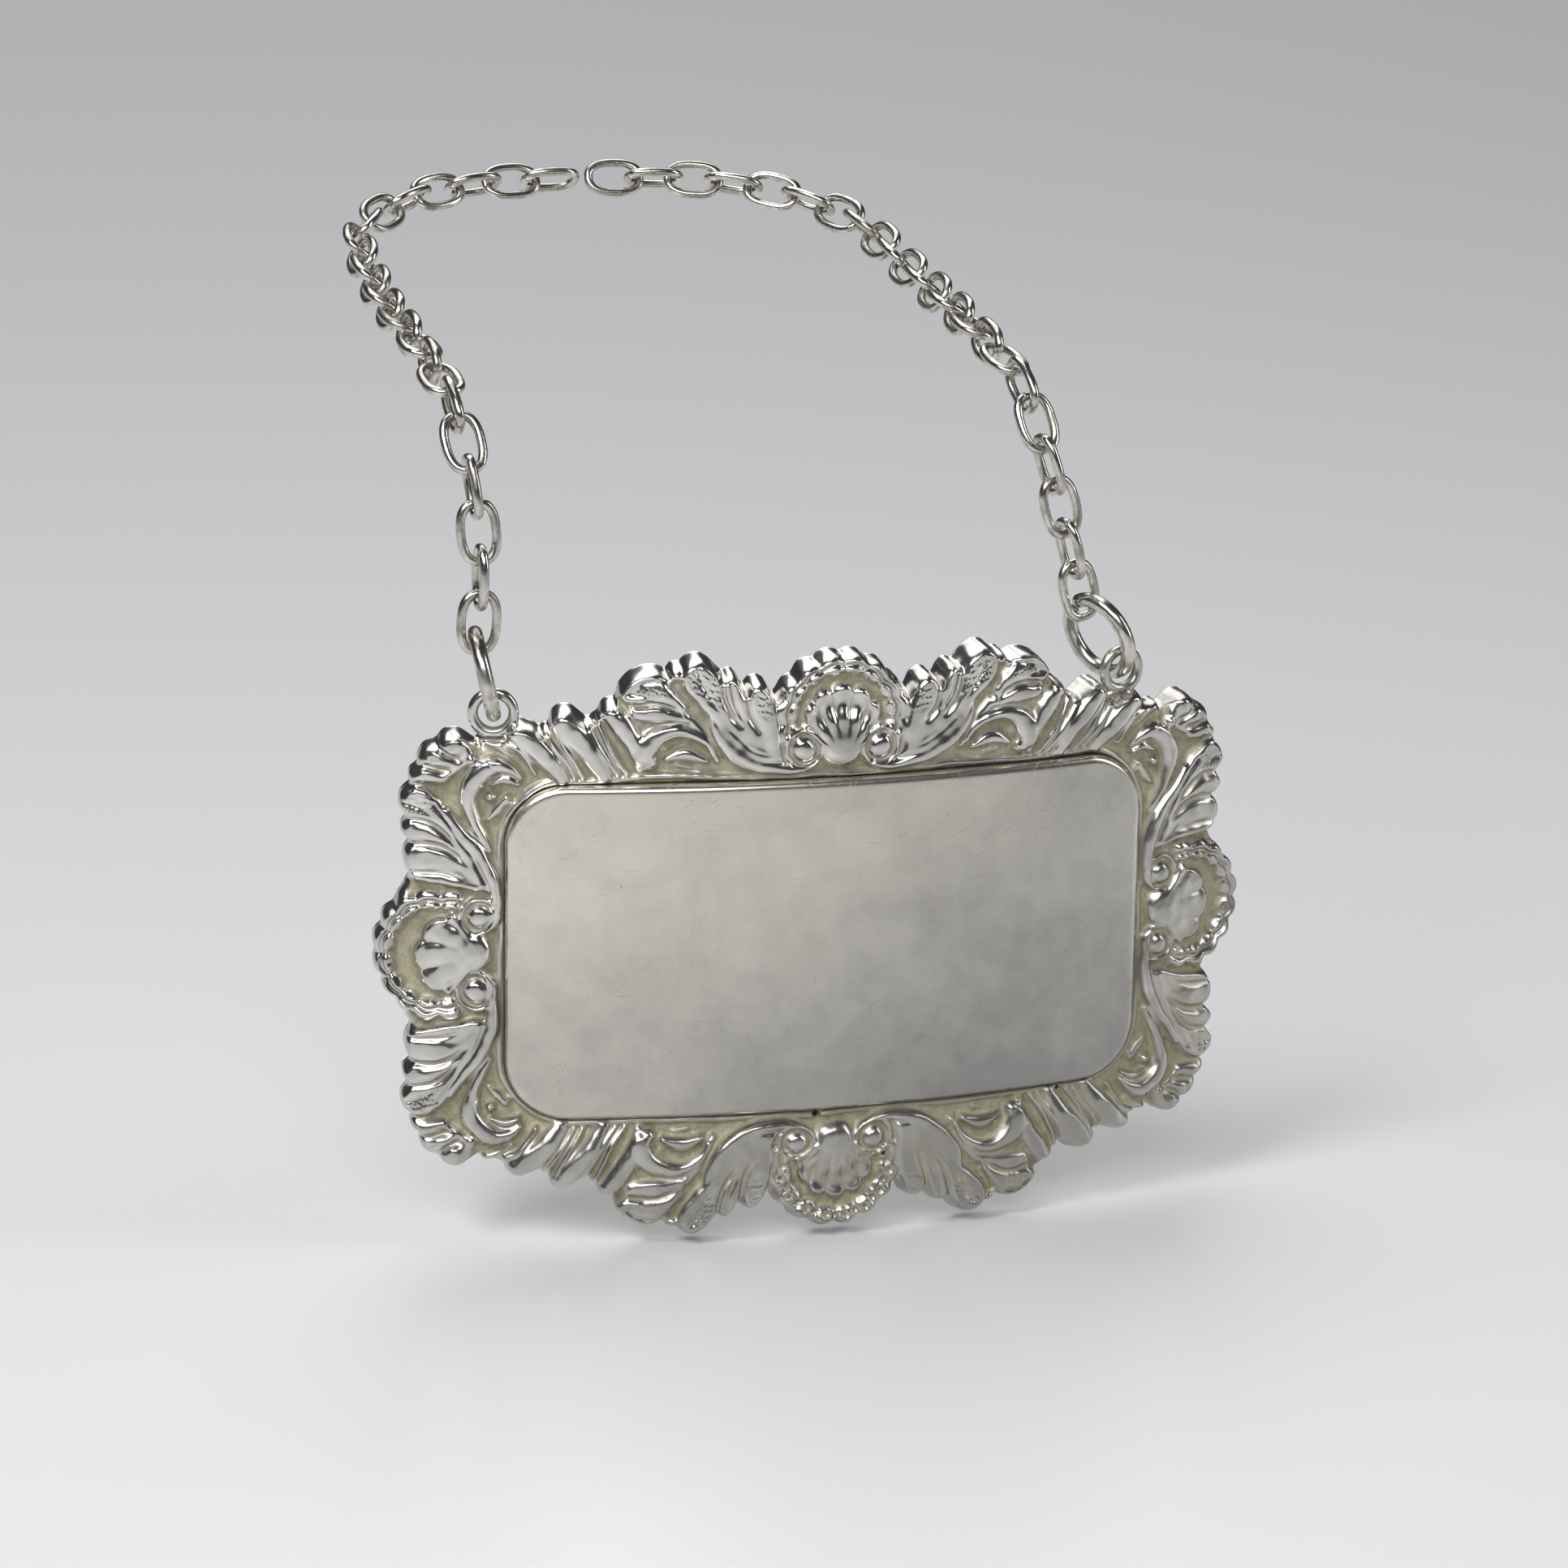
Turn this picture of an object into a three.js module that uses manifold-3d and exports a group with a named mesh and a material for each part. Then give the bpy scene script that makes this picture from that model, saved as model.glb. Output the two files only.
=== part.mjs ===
// A decanter label: a cast border of shells, acanthus leaves and gadroons round a plain panel,
// with two soldered eyelets, two jump rings and a trace chain that loops round a decanter's neck.
// Millimetres, +Z up, the label's face towards -Y, the origin on the axis of the neck in the loop.
import * as THREE from "three";
import { mergeVertices } from "three/addons/utils/BufferGeometryUtils.js";
import Module from "manifold-3d";

const wasm = await Module();
wasm.setup();

// The label's plate
const bendRadius = 80; // of the back face, about an upright axis behind the label
const panelHalfWidth = 21.1; // along the bend
const panelHalfHeight = 11.05;
const panelCornerRadius = 4;
const panelThickness = 1.15; // at its edge
const panelCrown = 0.3; // how far its middle stands above its edge
const panelBevel = 0.5; // round of its front edge
const seatLedge = 1; // how far the border reaches under the panel
const seatThickness = 0.7; // of that ledge
const seatClearance = 0.08; // between the panel and its seat
const borderThickness = 0.85; // of the matted ground between the ornaments
const borderEdgeRound = 0.35;
const rimWidth = 0.4; // of the thin moulding round the panel
const rimHeight = 0.4; // above the ground

// How far the border's ground reaches past the panel, from the top shell round to a side shell
const groundReach = {
  shell: 7.4,
  shellFoot: 5.5,
  leaf: 6.9,
  leafEnd: 5.2,
  gadroons: 3.8,
  corner: 6.3,
  sideLeaf: 6.7,
  sideFoot: 6.1,
  sideShell: 8.2,
};

// A shell: a scalloped rim round a hollow, with a ribbed palmette and two bosses at its foot
const shellRadius = 4.9;
const topShellOffset = 3.55; // from the panel's edge to the shell's centre
const sideShellOffset = 4;
const scallopCount = 14;
const scallopDepth = 0.16;
const shellRimHeight = 1.75;
const shellRimWidth = 1.1;
const shellHollowHeight = 0.95;
const palmetteRibs = 5;
const palmetteStart = 0.9; // from the panel's edge to its root
const palmetteLength = 5.2;
const palmetteFall = 0.25; // how much shorter the outer ribs are
const palmetteSpread = 0.7; // radians from the middle rib to an outer one
const palmetteRibDepth = 0.35; // of the valleys between its ribs
const palmetteHeight = 1.75;
const bossRadius = 0.95;
const bossSpacing = 5.1; // between the two bosses of a shell
const bossReach = 1.75; // from the panel's edge to a boss's centre
const bossHeight = 1.3;

const shellFloor = 0.15; // its underside, above the label's back
const bodySink = 0.6; // how deep an ornament's middle lies above the label's back
const bodyFloor = 0.25; // the lowest point of an ornament, inside the ground

// Gadroons: slanting lobes between the leaves and the corner
const gadroonCount = 3;
const gadroonPitch = 2.55;
const gadroonCornerGap = 2.5; // from the corner of the panel back to the first lobe's foot
const gadroonLength = 4.3; // of the one by the corner
const gadroonGrowth = 0.55; // from each to the next
const gadroonFootGap = 0.6; // from the panel's edge to a lobe's foot
const gadroonSlant = 1.6; // how far a lobe's head leans towards the corner
const gadroonWidth = 1.0;
const gadroonHeight = 1.5;

// Leaves and scrolls
const borderWidth = 8.45; // how far the largest leaves reach past the panel
const leafHeight = 2.05; // above the label's back
const leafFold = 0.6; // depth of the folds between lobes
const leafEdge = 0.6; // height of a leaf's outer edge
const notchDepth = 1; // from the line between two tips of a leaf down to the notch
const tipRound = 0.35; // how far a tip's shoulders stand behind its end, as a share of its width
const scrollWidth = 0.72;
const scrollHeight = 1.3;

// The chain and what it hangs on
const eyeletWire = 0.72;
const eyeletHole = 1.86;
const eyeletDepth = 0.75; // of its wire's centre, in front of the back face
const eyeletFoot = { width: 2.5, height: 1.5, depth: 0.9, drop: 1.75 }; // drop: below its centre
const eyeletClearance = 0.06; // in the notch that it is soldered into
const eyeletLeftPlace = { inset: -0.75, rise: 4.5 }; // in from the panel's end, up from its top
const eyeletRightPlace = { inset: 1.25, rise: 5.25 };
const ringWire = 1.02;
const ringInner = 4.2;
const ringCut = 0.35; // between a jump ring's ends
const ringClearance = 0.24; // between its wire and a link's
const linkLength = 4.3;
const linkWidth = 2.9;
const linkWire = 0.64;
const linkSquareness = 0.78; // 1 is an ellipse, less has straighter sides
const linkClearance = 0.16; // between the wires of two links
const linksPerSide = 24;
const openingGap = 0.35; // between the last links of the two sides, behind the neck
const frontRun = 12; // how high the chain climbs above the rings before it turns back
const frontStep = 4.6; // from the top of that climb to the chain's level behind it
const frontLean = 2.2; // how far each side draws in towards the other on the way up
const shoulderDepth = 10; // how far back the chain's turn reaches
const backRise = 6.2; // from the shoulder up to the loop's far end
const neckCentre = { x: -6, y: 20, z: 38.5 };

// Finish
const silver = { color: 0xbdb8a8, roughness: 0.28, metalness: 1 };
const brightSilver = { color: 0xc9c6bb, roughness: 0.2, metalness: 1 };

// Resolution
const longSideSteps = 14; // along a long side of the panel, then a short side, then a corner
const shortSideSteps = 6;
const cornerSteps = 5;
const wireSides = 6;
const linkSteps = 12;
const ringSteps = 20;

// Turns flat label coordinates into space: s along the bend, z up, depth out of the back face.
function bent(s, z, depth) {
  const angle = s / bendRadius;
  const reach = bendRadius + depth;
  return new THREE.Vector3(reach * Math.sin(angle), bendRadius - reach * Math.cos(angle), z);
}

// Moves every vertex of a geometry to where place(vertex) says.
function mapVertices(geometry, place) {
  const position = geometry.getAttribute("position");
  const vertex = new THREE.Vector3();
  for (let i = 0; i < position.count; i++) {
    const target = place(vertex.fromBufferAttribute(position, i));
    position.setXYZ(i, target.x, target.y, target.z);
  }
  return geometry;
}

// A closed geometry as a solid whose faces point out.
function solidOf(geometry) {
  const bare = geometry.index ? geometry.toNonIndexed() : geometry.clone();
  bare.deleteAttribute("normal");
  bare.deleteAttribute("uv");
  const merged = mergeVertices(bare, 1e-4);
  const vertProperties = merged.getAttribute("position").array;
  const triVerts = new Uint32Array(merged.index.array);
  const solid = new wasm.Manifold(new wasm.Mesh({ numProp: 3, vertProperties, triVerts }));
  if (solid.volume() > 0) {
    return solid;
  }
  for (let i = 0; i < triVerts.length; i += 3) {
    [triVerts[i + 1], triVerts[i + 2]] = [triVerts[i + 2], triVerts[i + 1]];
  }
  return new wasm.Manifold(new wasm.Mesh({ numProp: 3, vertProperties, triVerts }));
}

function geometryOf(solid) {
  const mesh = solid.getMesh();
  const geometry = new THREE.BufferGeometry();
  geometry.setAttribute("position", new THREE.BufferAttribute(mesh.vertProperties, 3));
  geometry.setIndex(new THREE.BufferAttribute(mesh.triVerts, 1));
  geometry.computeVertexNormals();
  return geometry;
}

const join = (solids) => solids.reduce((whole, solid) => whole.add(solid));

function named(name, geometry, finish) {
  const mesh = new THREE.Mesh(geometry, new THREE.MeshStandardMaterial(finish));
  mesh.name = name;
  return mesh;
}

// The panel's outline, clockwise seen from the front, from the middle of its top edge.
function panelPath() {
  const r = panelCornerRadius;
  const [w, h] = [panelHalfWidth, panelHalfHeight];
  const path = new THREE.Path();
  path.moveTo(0, h);
  path.lineTo(w - r, h);
  path.absarc(w - r, h - r, r, Math.PI / 2, 0, true);
  path.lineTo(w, r - h);
  path.absarc(w - r, r - h, r, 0, -Math.PI / 2, true);
  path.lineTo(r - w, -h);
  path.absarc(r - w, r - h, r, -Math.PI / 2, -Math.PI, true);
  path.lineTo(-w, h - r);
  path.absarc(r - w, h - r, r, Math.PI, Math.PI / 2, true);
  path.lineTo(0, h);
  return path;
}

const panelOutline = panelPath();
const outlineLength = panelOutline.getLength();

// How far round the outline each section stands: evenly on each side and each corner.
function outlineStations() {
  const longHalf = panelHalfWidth - panelCornerRadius;
  const shortSide = 2 * (panelHalfHeight - panelCornerRadius);
  const corner = (panelCornerRadius * Math.PI) / 2;
  const runs = [
    [longHalf, longSideSteps / 2],
    [corner, cornerSteps],
    [shortSide, shortSideSteps],
    [corner, cornerSteps],
    [2 * longHalf, longSideSteps],
    [corner, cornerSteps],
    [shortSide, shortSideSteps],
    [corner, cornerSteps],
    [longHalf, longSideSteps / 2],
  ];
  const stations = [0];
  for (const [length, steps] of runs) {
    const start = stations[stations.length - 1];
    for (let i = 1; i <= steps; i++) {
      stations.push(start + (length * i) / steps / outlineLength);
    }
  }
  return stations;
}

const stations = outlineStations();
const stationCount = stations.length - 1;

// A point at a given offset outside the panel's outline, t of the way round it.
function outlinePoint(t, offset) {
  const point = panelOutline.getPointAt(t);
  const tangent = panelOutline.getTangentAt(t);
  return new THREE.Vector2(point.x - tangent.y * offset, point.y + tangent.x * offset);
}

// The ground's reach at a distance along the outline from the middle of a long side.
function groundCurve() {
  const cornerStart = panelHalfWidth - panelCornerRadius;
  const cornerArc = (panelCornerRadius * Math.PI) / 2;
  const sideEnd = cornerStart + cornerArc + panelHalfHeight - panelCornerRadius;
  const reach = groundReach;
  return new THREE.SplineCurve([
    new THREE.Vector2(0, reach.shell),
    new THREE.Vector2(shellRadius * 0.9, reach.shellFoot),
    new THREE.Vector2(shellRadius * 1.8, reach.leaf),
    new THREE.Vector2(cornerStart - 2.8, reach.leafEnd),
    new THREE.Vector2(cornerStart, reach.gadroons),
    new THREE.Vector2(cornerStart + cornerArc * 0.42, reach.gadroons + 0.4),
    new THREE.Vector2(cornerStart + cornerArc * 0.68, reach.corner),
    new THREE.Vector2(cornerStart + cornerArc, reach.sideLeaf),
    new THREE.Vector2(sideEnd - shellRadius, reach.sideFoot),
    new THREE.Vector2(sideEnd, reach.sideShell),
  ]);
}

// Reads a spline of (distance, value) points at a distance.
function readCurve(curve, distance) {
  let low = 0;
  let high = 1;
  for (let i = 0; i < 30; i++) {
    const middle = (low + high) / 2;
    if (curve.getPoint(middle).x < distance) {
      low = middle;
    } else {
      high = middle;
    }
  }
  return curve.getPoint(low).y;
}

// The matted ground of the border: a ring round the panel with a seat for it and a thin rim.
function groundRing() {
  const curve = groundCurve();
  const quarter = outlineLength / 4;
  const reachAt = (t) => {
    const along = (t * 4) % 2;
    return readCurve(curve, (along < 1 ? along : 2 - along) * quarter);
  };
  const rimTop = borderThickness + rimHeight;
  const section = (reach) => [
    [-seatLedge, 0],
    [reach, 0],
    [reach - borderEdgeRound, borderThickness],
    [seatClearance + rimWidth * 2, borderThickness],
    [seatClearance + rimWidth / 2, rimTop],
    [seatClearance, seatThickness],
    [-seatLedge, seatThickness],
  ];
  return ringSurface(
    section(0).length,
    stationCount,
    (ring, segment) => {
      const [offset, depth] = section(reachAt(stations[segment]))[ring];
      const point = outlinePoint(stations[segment], offset);
      return bent(point.x, point.y, depth);
    },
    true,
  );
}

// A closed surface of rings of points: place(ring, segment) says where each point goes. The first
// and last rings close to a point each, unless the rings join up round a hole.
function ringSurface(ringCount, segments, place, aroundHole = false) {
  const profile = [];
  for (let ring = 0; ring < ringCount; ring++) {
    const closed = !aroundHole && (ring === 0 || ring === ringCount - 1);
    profile.push(new THREE.Vector2(closed ? 0 : 1, ring));
  }
  if (aroundHole) {
    profile.push(new THREE.Vector2(1, ringCount));
  }
  const lathe = new THREE.LatheGeometry(profile, segments);
  return solidOf(
    mapVertices(lathe, (v) => {
      const share = Math.atan2(v.x, v.z) / (2 * Math.PI);
      const segment = (Math.round(share * segments) + segments) % segments;
      return place(Math.round(v.y) % ringCount, segment);
    }),
  );
}

// Four mirrored places: [left or right, up or down].
const quarters = [
  [1, 1],
  [-1, 1],
  [1, -1],
  [-1, -1],
];

// A rounded body laid on the face along a spine: an ellipsoid whose long axis follows the curve.
function bodyAlong(body, [sideways, upright]) {
  const { spine, width, height, ring = 6, steps = 5 } = body;
  return solidOf(
    mapVertices(new THREE.SphereGeometry(1, ring, steps), (v) => {
      const along = (1 - v.y) / 2;
      const middle = spine.getPoint(along);
      const tangent = spine.getTangent(along);
      const across = v.x * width(along);
      const s = middle.x - tangent.y * across;
      const z = middle.y + tangent.x * across;
      const depth = bodySink + v.z * height(along);
      return bent(sideways * s, upright * z, Math.max(depth, bodyFloor));
    }),
  );
}

// One shell, as if its foot were at the panel's edge and it pointed up.
// place(across, out, depth) puts a point of it on the label.
function shell(offset, place) {
  const rim = shellRadius;
  const inner = rim - shellRimWidth;
  const profile = [
    [0, shellFloor],
    [rim, shellFloor],
    [rim - shellRimWidth * 0.4, shellRimHeight],
    [inner, shellHollowHeight],
    [0, borderThickness * 0.9],
  ].map(([r, depth]) => new THREE.Vector2(r, depth));
  const lathe = new THREE.LatheGeometry(profile, scallopCount * 2);
  const dish = mapVertices(lathe, (v) => {
    const around = Math.atan2(v.x, v.z);
    const radius = Math.hypot(v.x, v.z);
    const wave = -Math.cos(around * scallopCount) * scallopDepth;
    const scalloped = radius + (radius > inner * 0.9 ? wave : 0);
    return place(
      scalloped * Math.sin(around),
      offset + scalloped * Math.cos(around),
      v.y + (radius > inner ? wave * 0.5 : 0),
    );
  });
  return [solidOf(dish), palmette(place), ...bosses(place)];
}

// A shell's palmette: one fan of ribs from the panel's edge, high along each rib.
function palmette(place) {
  const fan = mapVertices(new THREE.SphereGeometry(1, palmetteRibs * 4, 5), (v) => {
    const along = (1 - v.y) / 2;
    const spread = Math.hypot(v.x, v.z);
    const side = spread > 0.01 ? 1 - (Math.acos(v.x / spread) / Math.PI) * 2 : 0;
    const onRib = Math.round((side + 1) * palmetteRibs) % 2 === 1;
    const angle = side * palmetteSpread * Math.min(1, 0.35 + along) * spread;
    const out = palmetteStart + palmetteLength * along * (1 - palmetteFall * side * side);
    const crown = palmetteHeight * (1 - 0.3 * side * side) - (onRib ? 0 : palmetteRibDepth);
    const top = borderThickness + crown * spread * (0.5 + 0.5 * along);
    return place(out * Math.sin(angle), out * Math.cos(angle), v.z > 0.01 ? top : bodyFloor);
  });
  return solidOf(fan);
}

function bosses(place) {
  return [-1, 1].map((side) => {
    const ball = mapVertices(new THREE.SphereGeometry(1, 8, 5), (v) =>
      place(
        (side * bossSpacing) / 2 + v.x * bossRadius,
        bossReach + v.y * bossRadius,
        Math.max(borderThickness + v.z * bossHeight, bodyFloor),
      ),
    );
    return solidOf(ball);
  });
}

function shells() {
  const places = [
    [topShellOffset, (a, out, depth) => bent(a, panelHalfHeight + out, depth)],
    [topShellOffset, (a, out, depth) => bent(a, -panelHalfHeight - out, depth)],
    [sideShellOffset, (a, out, depth) => bent(panelHalfWidth + out, a, depth)],
    [sideShellOffset, (a, out, depth) => bent(-panelHalfWidth - out, a, depth)],
  ];
  return places.flatMap(([offset, place]) => shell(offset, place));
}

// Points given as shares of the border's width, from the panel's corner or the middle of a side.
const pointsFrom = (anchor, points) =>
  points.map(([s, z]) => new THREE.Vector2(anchor.s + s * borderWidth, anchor.z + z * borderWidth));

const topMiddle = { s: 0, z: panelHalfHeight };
const sideMiddle = { s: panelHalfWidth, z: 0 };
const panelCorner = { s: panelHalfWidth, z: panelHalfHeight };

// A gadroon's foot stands by the panel, and its head leans towards the corner.
function gadroon(index) {
  const foot = panelCorner.s - gadroonCornerGap - index * gadroonPitch;
  const length = gadroonLength + index * gadroonGrowth;
  const spine = new THREE.SplineCurve([
    new THREE.Vector2(foot, panelCorner.z + gadroonFootGap),
    new THREE.Vector2(foot + gadroonSlant * 0.2, panelCorner.z + length * 0.45),
    new THREE.Vector2(foot + gadroonSlant, panelCorner.z + length),
  ]);
  return {
    spine,
    width: (along) => gadroonWidth * (0.62 + 0.5 * along),
    height: (along) => gadroonHeight * (0.7 + 0.4 * along),
    ring: 8,
    steps: 4,
  };
}

// A smooth scroll or bud that swells towards its end.
function scroll(anchor, points, full) {
  const spine = new THREE.SplineCurve(pointsFrom(anchor, points));
  return { spine, width: (along) => full * (0.6 + 0.5 * along), height: () => scrollHeight };
}

// A leaf's outline from its root past each tip and back, seen whole from its heart. A tip has two
// shoulders, and between two tips stands a notch. Each point says whether it lies on a crest.
function leafOutline(heart, root, before, tips, after) {
  const outline = [{ point: root, crest: true }];
  before.forEach((point) => outline.push({ point, crest: true }));
  tips.forEach(({ end, width }, index) => {
    const outward = end.clone().sub(heart).normalize();
    const across = new THREE.Vector2(outward.y, -outward.x);
    const shoulder = end.clone().addScaledVector(outward, -width * tipRound);
    if (index > 0) {
      const middle = end.clone().add(tips[index - 1].end).multiplyScalar(0.5);
      const inward = heart.clone().sub(middle).normalize();
      outline.push({ point: middle.addScaledVector(inward, notchDepth), crest: false });
    }
    outline.push({ point: shoulder.clone().addScaledVector(across, -width / 2), crest: true });
    outline.push({ point: shoulder.clone().addScaledVector(across, width / 2), crest: true });
  });
  after.forEach((point) => outline.push({ point, crest: false }));
  return outline;
}

// A leaf: lobes round a heart, which stand up between the folds that run from notch to heart.
function leaf({ anchor, heart, root, before = [], tips, after = [] }, [sideways, upright]) {
  const [middle, start] = pointsFrom(anchor, [heart, root]);
  const ends = tips.map(({ at, width }) => ({ end: pointsFrom(anchor, [at])[0], width }));
  const [beforeTips, afterTips] = [before, after].map((places) => pointsFrom(anchor, places));
  const edge = leafOutline(middle, start, beforeTips, ends, afterTips);
  const rings = [
    { share: 0, crest: bodyFloor, fold: bodyFloor },
    { share: 0.94, crest: bodyFloor, fold: bodyFloor },
    { share: 1, crest: leafEdge, fold: leafEdge },
    { share: 0.74, crest: leafHeight, fold: leafHeight - leafFold },
    { share: 0.35, crest: leafHeight, fold: leafHeight - leafFold / 2 },
    { share: 0, crest: leafHeight - leafFold / 3, fold: leafHeight - leafFold / 3 },
  ];
  return ringSurface(rings.length, edge.length, (ring, segment) => {
    const { share, crest, fold } = rings[ring];
    const { point, crest: onCrest } = edge[segment];
    const place = middle.clone().lerp(point, share);
    return bent(sideways * place.x, upright * place.y, onCrest ? crest : fold);
  });
}

// The leaves of the top right quarter, in the order of a walk from the top shell to the side one
const leaves = [
  {
    anchor: topMiddle,
    heart: [0.78, 0.5],
    root: [0.42, 0.09],
    before: [[0.47, 0.45]],
    tips: [
      { at: [0.62, 0.79], width: 1.1 },
      { at: [0.85, 0.9], width: 1 },
      { at: [1.11, 0.96], width: 1.4 },
      { at: [1.27, 0.78], width: 0.9 },
    ],
    after: [
      [1.06, 0.42],
      [0.8, 0.16],
    ],
  },
  {
    anchor: topMiddle,
    heart: [1.38, 0.58],
    root: [1.06, 0.42],
    tips: [
      { at: [1.35, 0.9], width: 1.2 },
      { at: [1.56, 0.79], width: 1.2 },
      { at: [1.69, 0.6], width: 1.1 },
    ],
    after: [[1.52, 0.42]],
  },
  {
    anchor: panelCorner,
    heart: [0.36, 0],
    root: [0.13, -0.28],
    before: [[0.18, 0.14]],
    tips: [
      { at: [0.4, 0.42], width: 1.4 },
      { at: [0.61, 0.27], width: 1.3 },
      { at: [0.72, 0.05], width: 1.3 },
    ],
    after: [[0.56, -0.2]],
  },
  {
    anchor: sideMiddle,
    heart: [0.46, 0.76],
    root: [0.11, 0.4],
    before: [[0.2, 0.82]],
    tips: [
      { at: [0.7, 1.27], width: 1.6 },
      { at: [0.83, 1.03], width: 1.1 },
      { at: [0.83, 0.81], width: 1 },
      { at: [0.77, 0.6], width: 0.9 },
    ],
    after: [[0.4, 0.4]],
  },
];

// The swept bodies of a quarter of the border, for the top right corner.
function quarterBodies() {
  const arch = [
    [0.92, 0.14],
    [1.05, 0.31],
    [1.24, 0.42],
    [1.42, 0.36],
    [1.48, 0.18],
  ];
  const petal = [
    [-0.14, 0.05],
    [-0.05, 0.17],
    [0.1, 0.2],
    [0.23, 0.11],
    [0.28, -0.05],
  ];
  const bud = [
    [0.04, -0.09],
    [0.15, -0.09],
  ];
  return [
    ...Array.from({ length: gadroonCount }, (_, index) => gadroon(index)),
    scroll(topMiddle, arch, scrollWidth),
    scroll(panelCorner, petal, scrollWidth * 0.8),
    scroll(panelCorner, bud, scrollWidth * 0.8),
  ];
}

// A plate with the panel's outline, from one depth to another, grown by a margin.
function panelPlate(bottom, edge, crown, bevel, margin) {
  const rings = [
    [0, 0, bottom],
    [0.5, 0, bottom],
    [1, 0, bottom],
    [1, 0, edge - bevel],
    [1, bevel, edge],
    [0.5, 0, edge + crown * 0.8],
    [0, 0, edge + crown],
  ];
  return ringSurface(rings.length, stationCount, (ring, segment) => {
    const [share, inset, depth] = rings[ring];
    const point = outlinePoint(stations[segment], margin - inset);
    return bent(point.x * share, point.y * share, depth);
  });
}

const seatDepth = seatThickness + seatClearance;
const panelSolid = panelPlate(seatDepth, seatDepth + panelThickness, panelCrown, panelBevel, 0);

// The centres of the two eyelets on the flat label
const eyeletLeft = {
  s: eyeletLeftPlace.inset - panelHalfWidth,
  z: panelHalfHeight + eyeletLeftPlace.rise,
};
const eyeletRight = {
  s: panelHalfWidth - eyeletRightPlace.inset,
  z: panelHalfHeight + eyeletRightPlace.rise,
};

// A soldered eyelet: a ring of wire past the border's edge, on a foot that flares into the border.
function eyelet({ s, z }, clearance) {
  const radius = (eyeletHole + eyeletWire) / 2;
  const torus = new THREE.TorusGeometry(radius, eyeletWire / 2 + clearance, 6, 16);
  const ring = mapVertices(torus, (v) => bent(s + v.x, z + v.y, eyeletDepth + v.z));
  const { width, height, depth, drop } = eyeletFoot;
  const foot = mapVertices(new THREE.SphereGeometry(1, 10, 6), (v) =>
    bent(
      s + v.x * (width / 2 + clearance),
      z - drop + v.y * (height / 2 + clearance),
      eyeletDepth + v.z * (depth / 2 + clearance),
    ),
  );
  return join([solidOf(ring), solidOf(foot)]);
}

function borderSolid() {
  const ornaments = quarters.flatMap((quarter) => [
    ...quarterBodies().map((body) => bodyAlong(body, quarter)),
    ...leaves.map((spec) => leaf(spec, quarter)),
  ]);
  const cast = join([groundRing(), ...shells(), ...ornaments]);
  const pocket = panelPlate(seatThickness, 6, 0, panelBevel, seatClearance);
  const notches = [eyeletLeft, eyeletRight].map((at) => eyelet(at, eyeletClearance));
  return notches.reduce((rest, notch) => rest.subtract(notch), cast.subtract(pocket));
}

// The middle of a link's wire: a rounded oval, long along x.
class LinkCurve extends THREE.Curve {
  constructor(length, width) {
    super();
    this.half = new THREE.Vector2(length, width).divideScalar(2);
  }

  getPoint(t, target = new THREE.Vector3()) {
    const angle = t * 2 * Math.PI;
    const bow = (value) => Math.sign(value) * Math.abs(value) ** linkSquareness;
    return target.set(this.half.x * bow(Math.cos(angle)), this.half.y * bow(Math.sin(angle)), 0);
  }
}

const linkCurve = new LinkCurve(linkLength - linkWire, linkWidth - linkWire);
const linkGeometry = new THREE.TubeGeometry(linkCurve, linkSteps, linkWire / 2, wireSides, true);

// Part of a circle in the plane of x and y, from one angle to another.
class ArcCurve extends THREE.Curve {
  constructor(radius, start, end) {
    super();
    this.radius = radius;
    this.start = start;
    this.end = end;
  }

  getPoint(t, target = new THREE.Vector3()) {
    const angle = this.start + (this.end - this.start) * t;
    return target.set(this.radius * Math.cos(angle), this.radius * Math.sin(angle), 0);
  }
}

const ringRadius = (ringInner + ringWire) / 2;

// A jump ring of round wire, cut at the given angle, in the plane of x and y.
function jumpRing(cutAngle) {
  const half = ringCut / ringRadius / 2;
  const path = new ArcCurve(ringRadius, cutAngle + half, cutAngle + Math.PI * 2 - half);
  const section = new THREE.Shape();
  section.absarc(0, 0, ringWire / 2, 0, Math.PI * 2);
  const options = { steps: ringSteps, extrudePath: path, curveSegments: 4 };
  return geometryOf(solidOf(new THREE.ExtrudeGeometry(section, options)));
}

// From a ring's centre up to the first pivot of its chain
const chainStart = ringRadius - ringWire / 2 - ringClearance + linkClearance / 2;

// A jump ring as it lies in its eyelet: up points from the eyelet to the chain's first link,
// and across is the way of its wire through both.
function lyingRing(eyeletAt, upwards, through) {
  const up = new THREE.Vector3(...upwards).normalize();
  const across = new THREE.Vector3(...through);
  across.addScaledVector(up, -across.dot(up)).normalize();
  const centre = bent(eyeletAt.s, eyeletAt.z, eyeletDepth).addScaledVector(up, ringRadius);
  const top = centre.clone().addScaledVector(up, chainStart);
  return { centre, up, across, top };
}

const ringLeft = lyingRing(eyeletLeft, [-0.22, 0, 0.98], [-0.16, -0.99, 0]);
const ringRight = lyingRing(eyeletRight, [-0.47, 0.36, 0.8], [0.2, -0.85, 0.49]);

function placedRing(name, ring, cutAngle) {
  const mesh = named(name, jumpRing(cutAngle), brightSilver);
  const normal = new THREE.Vector3().crossVectors(ring.across, ring.up);
  mesh.quaternion.setFromRotationMatrix(new THREE.Matrix4().makeBasis(ring.across, ring.up, normal));
  mesh.position.copy(ring.centre);
  return mesh;
}

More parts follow.
